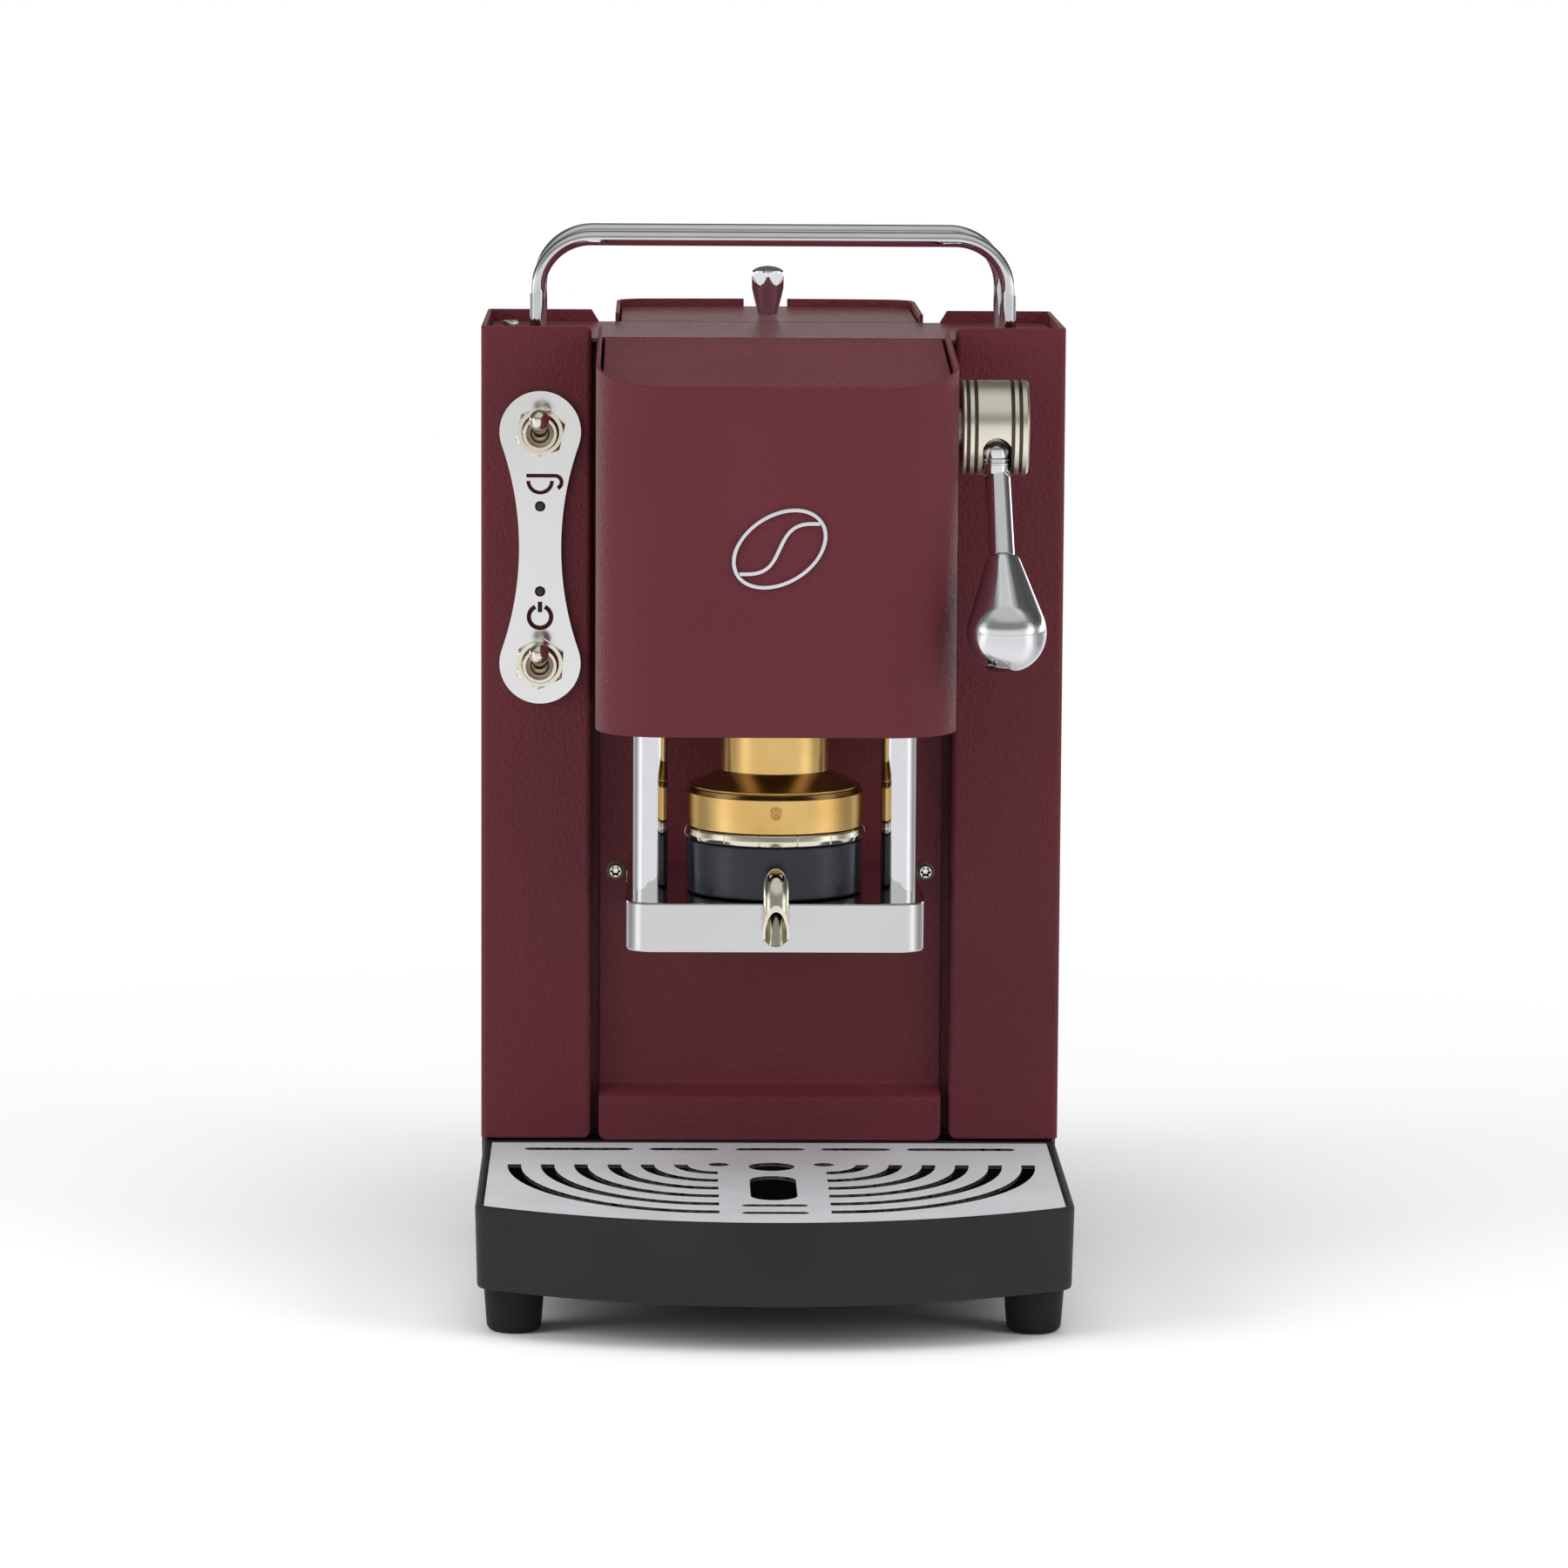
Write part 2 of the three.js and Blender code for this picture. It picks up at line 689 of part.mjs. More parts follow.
const footProfile = [
  [0, 0], [footBottomRadius - footRound, 0], [footBottomRadius, footRound],
  [footRadius, footHeight], [0, footHeight],
];

function foot(name, x, y) {
  add(name, turned(footProfile, medium), rubber()).position.set(x, y, 0);
}

foot('foot_front_left', -footX, frontFootY);
foot('foot_front_right', footX, frontFootY);
foot('foot_rear_left', -rearFootX, rearFootY);
foot('foot_rear_right', rearFootX, rearFootY);
foot('tray_foot_left', -footX, trayFootY);
foot('tray_foot_right', footX, trayFootY);

// Drip tray and its slotted grid

const trayPlan = (inset, squareInset) => bowedPlan(trayWidth / 2, -trayFront, trayBack,
  trayCornerRadius, trayBowRadius, inset, squareInset, 14);

function dripTray() {
  const outer = prism(trayPlan(0, 0), panBottom, trayTop);
  const seat = trayWall + trayLedge;
  const gridSeat = prism(trayPlan(trayWall, trayShelf), ledgeTop, trayTop + overrun);
  const basin = prism(trayPlan(seat, trayWall), panBottom + trayFloor, ledgeTop - trayFloor);
  const mouth = prism(trayPlan(seat, trayShelf + trayLedge), panBottom + trayFloor, trayTop);
  return cut(outer, gridSeat, basin, mouth);
}

function curvedSlot(side, i) {
  const wideX = slotOuterX - slotEndX - i * slotPitchX;
  const wideY = slotOuterFront - slotRise - i * slotPitchFront;
  const steps = 9 - i;
  const ellipse = (way, from, to) => arc(0, 0, wideX + way * slotWidth / 2, from, to, steps,
    wideY + way * slotDepthWidth / 2);
  const outer = ellipse(1, 0, Math.PI / 2);
  const inner = ellipse(-1, Math.PI / 2, 0);
  return [...outer, ...inner].map((p) => flat(side * (slotEndX + p.x), -slotRise - p.y));
}

function dripGrid() {
  const holes = [];
  const rowSlot = (x, halfLength) => slotAlongX(x, -rowSlotDepth, halfLength, rowSlotWidth / 2);
  const rowEnd = trayWidth / 2 - rowSlotEndMargin;
  [0, 1].forEach((i) => holes.push(
    slotAlongX(0, -frontSlotFrom - i * frontSlotPitch, frontSlotHalf, frontSlotWidth / 2)));
  holes.push(rowSlot(0, rowSlotHalf));
  [-1, 1].forEach((side) => {
    holes.push(rowSlot(side * rowSlotPitch, rowSlotHalf), rowSlot(side * rowEnd, rowSlotEndHalf));
    for (let i = 0; i < curvedSlots; i += 1) holes.push(curvedSlot(side, i));
    holes.push(circle(side * smallHoleX, -slotRise, smallHoleRadius));
  });
  holes.push(circle(0, -drainY, drainRadius, medium));
  const longHole = slotAlongX(0, 0, (longHoleTo - longHoleFrom) / 2, drainRadius);
  holes.push(longHole.map((p) => flat(p.y, p.x - (longHoleFrom + longHoleTo) / 2)));
  const low = ledgeTop + seam;
  const plate = prism(trayPlan(trayWall + seam, trayShelf + seam), low, low + gridSheet);
  return cut(plate, ...holes.map((hole) => prism(hole, low - overrun, low + gridSheet + overrun)));
}

add('drip_tray', dripTray(), blackPlastic());
add('drip_grid', dripGrid(), steel());

// Group cover: a wrap with rounded corners whose top edge sweeps down to the front

function groupCover() {
  const x = coverWidth / 2;
  const back = plateSetback - seam;
  const corner = coverCornerRadius;
  const plan = [
    ...rounded([[x, back], [x, -coverFront, corner], [-x, -coverFront, corner], [-x, back],
      [-coverInner, back], [-coverInner, sheet - coverFront, corner - sheet],
      [coverInner, sheet - coverFront, corner - sheet], [coverInner, back]], 7),
  ];
  const shoulder = corner - coverFront;
  const sweep = new THREE.QuadraticBezierCurve(flat(shoulder, coverTopShoulder),
    flat(shoulder - corner / 2, coverEdgeDip), flat(-coverFront, coverTopFront)).getPoints(5);
  const above = [flat(back + overrun, coverTopBack), ...sweep,
    flat(-coverFront - overrun, coverTopFront), flat(-coverFront - overrun, bodyTop + overrun),
    flat(back + overrun, bodyTop + overrun)];
  const shaftHole = turnedAlongX(rod(shaftRadius + seam, 0, coverWidth), medium, groupY, shaftZ);
  return cut(prism(plan, coverBottom, bodyTop),
    prismX(above, -x - overrun, x + overrun), shaftHole);
}

add('group_cover', groupCover(), paint());

function slopedPanel() {
  const x = coverInner - panelGap;
  const front = sheet + seam - coverFront;
  const back = plateSetback - seam;
  const radius = coverCornerRadius - sheet - panelGap;
  const plan = prism(rounded([[x, back], [x, front, radius], [-x, front, radius], [-x, back]], 6),
    panelFrontTop - 2 * sheet, bodyTop);
  const slab = prismX([flat(back, panelBackTop), flat(front, panelFrontTop),
    flat(front, panelFrontTop - sheet), flat(back, panelBackTop - sheet)], -x, x);
  return slab.intersect(plan);
}

add('sloped_panel', slopedPanel(), paint());

// Lid with its faceted knob

function lid() {
  const inset = sheet + lidGap;
  const plate = prism(rearPlan(inset, bodyDepth + seam), topPlateBottom, topPlateTop);
  return cut(plate, turned(rod(screwShank + seam, topPlateBottom - overrun, bodyTop), 8, 0, knobY));
}

function lidKnob() {
  const seat = topPlateTop + seam;
  const dome = arc(0, 0, 1, 0, Math.PI / 2, 3).map((p) =>
    [p.x * (knobRim - knobDome / 2), seat + knobHeight + p.y * knobDome]);
  const body = turned([[0, seat], [knobBase, seat], [knobRim, seat + knobHeight - knobDome / 2],
    ...dome], medium, 0, knobY);
  const flats = circle(0, knobY, knobFlats / Math.cos(Math.PI / 6), 6);
  const stud = turned(rod(screwShank, topPlateBottom - shankLength, seat + knobDome), 8, 0, knobY);
  return join(body.intersect(prism(flats, seat - overrun, bodyTop + 2 * knobHeight)), stud);
}

// Water tank, open at the top, with an outlet spigot at its foot

function waterTank() {
  const inset = sheet + tankGap;
  const bottom = panTop + seam;
  const front = bodyDepth + tankFront;
  const outer = prism(rearPlan(inset, front), bottom, topPlateBottom - seam);
  const inner = prism(rearPlan(inset + tankWall, front + tankWall), bottom + tankFloor, bodyTop);
  const z = bottom + spigotHeight;
  const spigot = turnedAlongY(rod(spigotRadius, front - spigotLength, front + tankWall / 2),
    coarse, spigotX, z);
  const bore = turnedAlongY(rod(spigotBore, front - spigotLength - overrun,
    front + tankWall + overrun), coarse, spigotX, z);
  return cut(outer, inner).add(spigot).subtract(bore);
}

add('lid', lid(), paint());
add('lid_knob', lidKnob(), chrome());
add('water_tank', waterTank(), clearPlastic());

// Carrying bows

class BowPath extends THREE.CurvePath {
  constructor(y) {
    super();
    const low = topPlateBottom - bowBelow;
    const top = bowTop - bowRadius;
    const knee = top - bowBend;
    const span = bowX - bowBend;
    const place = (x, z) => new THREE.Vector3(x, y, z);
    this.add(new THREE.LineCurve3(place(-bowX, low), place(-bowX, knee)));
    this.add(new THREE.CatmullRomCurve3(arc(-span, knee, bowBend, Math.PI, Math.PI / 2, 6)
      .map((p) => place(p.x, p.y))));
    this.add(new THREE.LineCurve3(place(-span, top), place(span, top)));
    this.add(new THREE.CatmullRomCurve3(arc(span, knee, bowBend, Math.PI / 2, 0, 6)
      .map((p) => place(p.x, p.y))));
    this.add(new THREE.LineCurve3(place(bowX, knee), place(bowX, low)));
    this.isCurve = true;
  }
}

const bow = (y) => tube(new BowPath(y), bowRadius, 8, 44);
add('bow_front', bow(bowFrontY), chrome());
add('bow_back', bow(bowBackY), chrome());

// Screws

function panHead(radius, head) {
  const dome = [[radius, 0], [radius, head / 2], [radius * 0.7, head]];
  return [[0, -shankLength], [screwShank, -shankLength], [screwShank, 0], ...dome, [0, head]];
}

add('top_plate_screw', turned(panHead(topScrewRadius, topScrewHead), coarse), steel())
  .position.set(topScrewX, topScrewY, topPlateTop + seam);

function tableScrew(name, side) {
  const socket = turned(rod(socketRadius, tableScrewHead / 3, tableScrewHead + overrun), 6);
  const profile = panHead(tableScrewRadius, tableScrewHead);
  const screw = add(name, cut(turned(profile, coarse), socket), steel());
  screw.position.set(side * tableScrewX, plateSetback - seam, tableScrewZ);
  screw.rotation.x = Math.PI / 2;
}

tableScrew('arm_screw_left', -1);
tableScrew('arm_screw_right', 1);

// Arm that carries the pod cup, held behind the centre plate by a flange

function podArm() {
  const x = tableWidth / 2;
  const flangeY = plateSetback + sheet + seam;
  const radius = tableCornerRadius;
  const arm = prism(rounded([[x, flangeY + sheet], [x, -tableFront, radius],
    [-x, -tableFront, radius], [-x, flangeY + sheet]], 5), tableBottom, tableTop);
  const flangeX = x + tableFlangeReach;
  const flange = block(-flangeX, flangeX, flangeY, flangeY + tableFlangeThick,
    tableBottom - tableFlangeLip, tableTop + tableFlangeLip);
  const socket = (side) => turned(
    rod(columnRadius + seam, tableTop - columnSocket, tableTop + overrun), medium,
    side * columnX, groupY);
  const screwHole = (side) => turnedAlongY(rod(screwShank + seam, flangeY - overrun,
    flangeY + tableFlangeThick + overrun), coarse, side * tableScrewX, tableScrewZ);
  return cut(join(arm, flange), socket(-1), socket(1), screwHole(-1), screwHole(1));
}

add('pod_arm', podArm(), aluminium());

const guideColumn = turnedGeometry(
  rod(columnRadius, tableTop - columnSocket + seam, columnTop), medium);
add('guide_column_left', toSolid(guideColumn.clone()), chrome()).position.set(-columnX, groupY, 0);
add('guide_column_right', toSolid(guideColumn.clone()), chrome()).position.set(columnX, groupY, 0);

// Pod cup, its bright rim, and the spout that leaves it at the front

function podCup() {
  const seat = cupTop - podDepth;
  const body = turned([[0, cupBottom], [cupRadius, cupBottom], [cupRadius, cupTop],
    [podRadius, cupTop], [podRadius, seat], [0, seat]], fine, 0, groupY);
  const drain = turnedAlongY(rod(spoutRadius + seam, groupY - cupRadius - overrun, groupY),
    medium, 0, tableTop + spoutHeight);
  return cut(body, drain);
}

const rimProfile = [
  [rimInner, rimBottom], [rimOuter - rimHeight / 4, rimBottom], [rimOuter, rimBottom + rimHeight / 3],
  [rimOuter, rimBottom + 2 * rimHeight / 3], [rimOuter - rimHeight / 4, rimBottom + rimHeight],
  [rimInner, rimBottom + rimHeight], [rimInner, rimBottom],
];

class SpoutPath extends THREE.CurvePath {
  constructor(lengthen) {
    super();
    const z = tableTop + spoutHeight;
    const start = groupY - podRadius - (cupRadius - podRadius) / 5 + lengthen;
    const bend = groupY - cupRadius - spoutReach;
    const place = (y, height) => new THREE.Vector3(0, y, height);
    const turn = arc(bend, z - spoutBend, spoutBend, Math.PI / 2, Math.PI / 2 + spoutBendAngle, 6)
      .map((p) => place(p.x, p.y));
    const last = turn[turn.length - 1];
    const down = place(-Math.cos(spoutBendAngle), -Math.sin(spoutBendAngle));
    this.add(new THREE.LineCurve3(place(start, z), place(bend, z)));
    this.add(new THREE.CatmullRomCurve3(turn));
    this.add(new THREE.LineCurve3(last, last.clone().addScaledVector(down, spoutDrop + lengthen)));
    this.end = last.clone().addScaledVector(down, spoutDrop);
    this.isCurve = true;
  }
}

function spout() {
  const path = new SpoutPath(0);
  const outside = tube(path, spoutRadius, 14, 14);
  const bore = tube(new SpoutPath(overrun), spoutRadius - spoutWall, 14, 14);
  const cutter = new THREE.BoxGeometry(4 * spoutRadius, 8 * spoutRadius, 4 * spoutRadius)
    .translate(0, 0, -2 * spoutRadius).rotateX(-spoutCutAngle)
    .translate(0, path.end.y, path.end.z + spoutCutRise);
  return cut(outside, bore, toSolid(cutter));
}

add('pod_cup', podCup(), blackEnamel());
add('cup_rim_ring', turned(rimProfile, fine, 0, groupY), chrome());
add('spout', spout(), nickel());

// Brass group that presses on the pod, with its ring, screen and heater

const groupProfile = [
  [0, ringBottom + seam], [flareRadius, ringBottom + seam], [flareRadius, flareFoot],
  [flareEdgeRadius, flareFoot], [flareEdgeRadius, flareEdgeTop],
  [neckRadius, flareEdgeTop + coneHeight], [neckRadius, neckTop], [neckSpigotRadius, neckTop],
  [neckSpigotRadius, spigotTop], [0, spigotTop],
];
const ringProfile = [
  [flareRadius + seam, ringBottom], [ringRadius, ringBottom], [ringRadius, ringTop - ringChamfer],
  [ringRadius - ringChamfer, ringTop], [flareRadius + seam, ringTop], [flareRadius + seam, ringBottom],
];

function groupRing() {
  const pin = turnedAlongY(rod(pinRadius, groupY - ringRadius - overrun,
    groupY - ringRadius + pinDepth), coarse, 0, ringBottom + pinHeight);
  return cut(turned(ringProfile, fine, 0, groupY), pin);
}

function bandHeater() {
  const from = bridgeTop + heaterFrom;
  const to = from + heaterHeight;
  const band = turned(sleeve(neckRadius + seam, heaterOuter, from, to), fine, 0, groupY);
  const tab = block(-heaterTab / 2, heaterTab / 2, groupY + heaterOuter - sheet,
    groupY + heaterOuter + heaterTab, from + heaterTab / 2, from + heaterTab);
  return join(band, tab);
}

add('group_body', turned(groupProfile, fine, 0, groupY), brass());
add('group_ring', groupRing(), brass());
add('shower_screen', turned(rod(screenRadius, ringBottom - screenThick, ringBottom), fine, 0, groupY),
  steel());
add('band_heater', bandHeater(), steel());

// Head bridge: the floor that guides the group, and two cheeks that carry the shaft

function headBridge() {
  const outer = cheekInner + cheekThick;
  const back = plateSetback - seam;
  const floor = prism(rounded([[outer, back], [outer, -bridgeFront, bossRadius],
    [-outer, -bridgeFront, bossRadius], [-outer, back]]), bridgeBottom, bridgeTop);
  const cheek = (from, to) => prismX([
    flat(groupY - cheekHalf, bridgeTop - sheet), flat(groupY + cheekHalf, bridgeTop - sheet),
    flat(groupY + bossRadius, shaftZ), flat(groupY - bossRadius, shaftZ),
  ], from, to).add(turnedAlongX(rod(bossRadius, from, to), medium, groupY, shaftZ));
  const bushBore = turnedAlongX(rod(shaftRadius + seam + bushWall + seam, -outer - overrun,
    outer + overrun), medium, groupY, shaftZ);
  const bore = (x, radius) => turned(
    rod(radius + seam, bridgeBottom - overrun, bridgeTop + overrun), medium, x, groupY);
  return cut(join(floor, cheek(-outer, -cheekInner), cheek(cheekInner, outer)), bushBore,
    bore(0, neckRadius), bore(-columnX, columnRadius), bore(columnX, columnRadius));
}

function crosshead() {
  const disc = turned(rod(crossRadius, crossBottom, crossTop), medium, 0, groupY);
  const arms = block(-columnX, columnX, groupY - armHalf, groupY + armHalf, crossBottom, crossTop);
  const eye = (side) => turned(rod(eyeRadius, crossBottom, crossTop), medium,
    side * columnX, groupY);
  const pad = block(-padHalf, padHalf, groupY - padFront, groupY + padBack,
    crossTop - sheet, padTop);
  const bore = (x, radius, to) => turned(rod(radius + seam, crossBottom - overrun, to), medium,
    x, groupY);
  return cut(join(disc, arms, eye(-1), eye(1), pad), bore(0, neckSpigotRadius, spigotTop + seam),
    bore(-columnX, columnRadius, crossTop + overrun), bore(columnX, columnRadius, crossTop + overrun));
}

add('head_bridge', headBridge(), aluminium());
add('crosshead', crosshead(), steel());

// Return springs round the chromed columns, between the bridge and the crosshead

class Helix extends THREE.Curve {
  constructor(radius, turns, from, to) {
    super();
    Object.assign(this, { radius, turns, from, to });
  }

  getPoint(t) {
    const angle = 2 * Math.PI * this.turns * t;
    const height = this.from + (this.to - this.from) * t;
    return new THREE.Vector3(this.radius * Math.cos(angle), this.radius * Math.sin(angle), height);
  }
}

function returnSpring(name, side) {
  const from = bridgeTop + seam + springWire;
  const to = crossBottom - seam - springWire;
  const helix = new Helix(springRadius, springTurns, from, to);
  helix.isCurve = true;
  const spring = tube(helix, springWire, 5, 8 * springTurns);
  add(name, spring, steel()).position.set(side * columnX, groupY, 0);
}

returnSpring('return_spring_left', -1);
returnSpring('return_spring_right', 1);

// Lever shaft, its bushes, and the cam

// The cam's edge is given by its support function: how far its tangent line lies from the
// shaft for each direction. It grows evenly with the angle, so a flat pad under the cam rises
// evenly with the lever. A nose, a straight flank and a heel circle close the outline.
function camOutline() {
  const place = (angle, support, slope) => flat(
    -support * Math.sin(angle) - slope * Math.cos(angle),
    -support * Math.cos(angle) + slope * Math.sin(angle));
  const points = [];
  const riseSteps = 16;
  for (let i = 0; i <= riseSteps; i += 1) {
    const angle = -leverTravel * (1 - i / riseSteps);
    points.push(place(angle, camHigh + camLift * angle, camLift));
  }
  const reach = Math.hypot(camHigh - camNose, camLift);
  const aim = Math.atan2(camLift, camHigh - camNose);
  const leave = aim + Math.acos((camLow - camNose) / reach);
  const noseSteps = 6;
  for (let i = 1; i <= noseSteps; i += 1) {
    const angle = leave * (i / noseSteps);
    const support = reach * Math.cos(angle - aim) + camNose;
    points.push(place(angle, support, -reach * Math.sin(angle - aim)));
  }
  const heelSteps = 12;
  const heelEnd = 2 * Math.PI - leverTravel;
  for (let i = 0; i <= heelSteps; i += 1) {
    points.push(place(leave + (heelEnd - leave) * (i / heelSteps), camLow, 0));
  }
  return points;
}

const lever = new THREE.Group();
lever.position.set(0, groupY, shaftZ);
machine.add(lever);

const shaftLeft = -(cheekInner + cheekThick);
const shaftRight = hubOuter - hubEndWall - seam;
add('lever_shaft', turnedAlongX(rod(shaftRadius, shaftLeft, shaftRight), medium), steel(), lever);
add('lever_cam', prismX(camOutline(), -camHalf, camHalf, [circle(0, 0, shaftRadius + seam, medium)]),
  steel(), lever);

function shaftBush(name, side) {
  const inner = shaftRadius + seam;
  const outer = inner + bushWall;
  const from = cheekInner - seam - bushFlangeThick;
  const profile = [
    [inner, from], [outer + bushFlange, from], [outer + bushFlange, from + bushFlangeThick],
    [outer, from + bushFlangeThick], [outer, cheekInner + cheekThick],
    [inner, cheekInner + cheekThick], [inner, from],
  ].map(([radius, x]) => [radius, side * x]);
  add(name, turnedAlongX(profile, medium, groupY, shaftZ), brass());
}

shaftBush('shaft_bush_left', -1);
shaftBush('shaft_bush_right', 1);

// Lever hub, made like an engine piston with ring grooves, its arm, and the teardrop knob

function leverHub() {
  const profile = [[0, hubInner], [hubRadius - hubChamfer / 2, hubInner],
    [hubRadius, hubInner + hubChamfer / 2]];
  grooves.forEach((at) => {
    const x = hubInner + at;
    profile.push([hubRadius, x], [hubRadius - grooveDepth, x],
      [hubRadius - grooveDepth, x + grooveWidth], [hubRadius, x + grooveWidth]);
  });
  profile.push([hubRadius, hubOuter - hubChamfer], [hubRadius - hubChamfer, hubOuter], [0, hubOuter]);
  const shaftBore = turnedAlongX(
    rod(shaftRadius + seam, hubInner - overrun, hubOuter - hubEndWall), medium);
  const radial = toSolid(turnedGeometry(rod(armBore, 0, hubRadius + overrun), medium)
    .applyMatrix4(armPlacement()));
  return cut(turnedAlongX(profile, 28), shaftBore, radial);
}

// Turns a piece that stands on z so that it points down and forwards from the hub.
function armPlacement() {
  const direction = new THREE.Vector3(Math.sin(leverLean), -Math.cos(leverRest),
    -Math.sin(leverRest)).normalize();
  const turn = new THREE.Quaternion().setFromUnitVectors(new THREE.Vector3(0, 0, 1), direction);
  return new THREE.Matrix4().compose(new THREE.Vector3(armX, 0, 0), turn,
    new THREE.Vector3(1, 1, 1));
}

const armProfile = [
  [0, armStart], [armNeck, armStart], [armNeck, armNeckEnd], [armRadius, armNeckEnd],
  [armRadius, armEnd], [armStud, armEnd], [armStud, armEnd + armStudLength],
  [0, armEnd + armStudLength],
];

function leverKnobProfile() {
  const start = armEnd + seam;
  const reach = ballAt - start - shoulderRise;
  const coneAngle = Math.asin(ballRadius / Math.hypot(reach, shoulderRadius))
    - Math.atan2(shoulderRadius, reach);
  const ball = arc(0, 0, ballRadius, -coneAngle, Math.PI / 2, 9)
    .map((p) => [p.x, ballAt + p.y]);
  const shoulder = arc(shoulderRadius - shoulderRise, start + shoulderRise, shoulderRise,
    -Math.PI / 2, 0, 3).map((p) => [p.x, p.y]);
  return [[0, start], ...shoulder, ...ball];
}

add('lever_hub', leverHub(), nickel(), lever);
add('lever_arm', toSolid(turnedGeometry(armProfile, medium).applyMatrix4(armPlacement())),
  chrome(), lever);
const knobSolid = toSolid(turnedGeometry(leverKnobProfile(), 24).applyMatrix4(armPlacement()));
const knobBore = toSolid(turnedGeometry(
  rod(armStud + seam, armEnd - overrun, armEnd + armStudLength + seam), coarse)
  .applyMatrix4(armPlacement()));
add('lever_knob', cut(knobSolid, knobBore), chrome(), lever);

// Control plate: two round ends joined by a waist of concave arcs

function controlPlate() {
  const middle = (switchHigh + switchLow) / 2;
  const end = (switchHigh - switchLow) / 2;
  const sideRadius = (end ** 2 + controlWaist ** 2 - controlEndRadius ** 2)
    / (2 * (controlEndRadius - controlWaist));
  const sideCentre = controlWaist + sideRadius;
  const tangent = Math.atan2(-end, sideCentre);
  const upper = arc(0, end, controlEndRadius, tangent, Math.PI - tangent, 14);
  const leftSide = arc(-sideCentre, 0, sideRadius, -tangent, tangent, 8).slice(1, -1);
  const quarterTurn = (p) => flat(-p.x, -p.y);
  const outline = [...upper, ...leftSide, ...upper.map(quarterTurn), ...leftSide.map(quarterTurn)]
    .map((p) => flat(controlX + p.x, middle + p.y));
  const holes = [
    circle(controlX, switchHigh, bushingRadius + seam, medium),
    circle(controlX, switchLow, bushingRadius + seam, medium),
    circle(controlX, lampHigh, lampRadius + seam),
    circle(controlX, lampLow, lampRadius + seam),
  ];
  return prismY(outline, -seam - controlSheet, -seam, holes);
}

add('control_plate', controlPlate(), steel());

// Toggle switches: body and bushing, hexagon nut, and a bat on its own pivot

const controlFront = -seam - controlSheet;
const bushingEnd = controlFront - bushingLength;

function toggleSwitch() {
  const bodyFront = sheet + seam;
  const body = block(-switchBodyWidth / 2, switchBodyWidth / 2, bodyFront,
    bodyFront + switchBodyDepth, -switchBodyHeight / 2, switchBodyHeight / 2);
  const bushing = turnedAlongY(rod(bushingRadius, bushingEnd, bodyFront + sheet), medium);
  const mouth = turnedAlongY(rod(mouthRadius, bushingEnd - overrun, bushingEnd + mouthDepth),
    medium);
  const bore = turnedAlongY(rod(switchBoreRadius, bushingEnd - overrun, bushingEnd + switchBore),
    medium);
  return cut(join(body, bushing), mouth, bore);
}

function toggleNut() {
  const hexagon = arc(0, 0, nutFlats / Math.sqrt(3), nutTurn + Math.PI / 2,
    nutTurn + 2.5 * Math.PI, 6).slice(0, -1);
  const to = controlFront - seam;
  return prismY(hexagon, to - nutThick, to, [circle(0, 0, bushingRadius + seam, medium)]);
}

function batProfile() {
  const root = arc(0, 0, batRoot, -Math.PI / 2, Math.acos(batThin / batRoot), 5)
    .map((p) => [Math.max(p.x, 0), p.y]);
  const tip = arc(0, 0, batTip, -Math.acos(batThick / batTip), Math.PI / 2, 5)
    .map((p) => [Math.max(p.x, 0), batLength + p.y]);
  return [...root, ...tip];
}

function toggle(label, z) {
  const at = (name, solid, look, y = 0) => add(name, solid, look).position.set(controlX, y, z);
  at(`switch_${label}`, toggleSwitch(), nickel());
  at(`switch_nut_${label}`, toggleNut(), nickel());
  const bat = new THREE.Group();
  bat.position.set(controlX, bushingEnd + batPivotDepth, z);
  bat.rotation.x = Math.PI / 2 - batTilt;
  machine.add(bat);
  add(`switch_bat_${label}`, turned(batProfile(), coarse), nickel(), bat);
}

toggle('upper', switchHigh);
toggle('lower', switchLow);

const lampSolid = () => turnedAlongY(
  rod(lampRadius, controlFront + controlSheet / 3, sheet + columnReturn), coarse);
add('lamp_upper', lampSolid(), lens()).position.set(controlX, 0, lampHigh);
add('lamp_lower', lampSolid(), lens()).position.set(controlX, 0, lampLow);

// Pump on its cradle, the hoses, and the mains inlet

function pump() {
  const coil = block(coilFrom, coilFrom + coilLength, pumpY - coilWidth / 2, pumpY + coilWidth / 2,
    pumpZ - coilHeight / 2, pumpZ + coilHeight / 2);
  const along = (radius, from, to) => turnedAlongX(rod(radius, from, to), coarse, pumpY, pumpZ);
  const inletEnd = coilFrom - inletLength;
  const outletStart = coilFrom + coilLength;
  const upright = turned(rod(nippleRadius, pumpZ, pumpZ + outletRadius + nippleLength), coarse,
    outletX, pumpY);
  return join(coil, along(inletRadius, inletEnd, coilFrom + sheet),
    along(nippleRadius, inletEnd - nippleLength, inletEnd + sheet),
    along(outletRadius, outletStart - sheet, outletStart + outletLength), upright);
}

function pumpCradle() {
  const middle = coilFrom + coilLength / 2;
  const low = panTop + seam;
  return block(middle - cradleWidth / 2, middle + cradleWidth / 2, pumpY - coilWidth / 2,
    pumpY + coilWidth / 2, low, low + pumpRaise);
}

add('pump', pump(), blackPlastic());
add('pump_cradle', pumpCradle(), rubber());

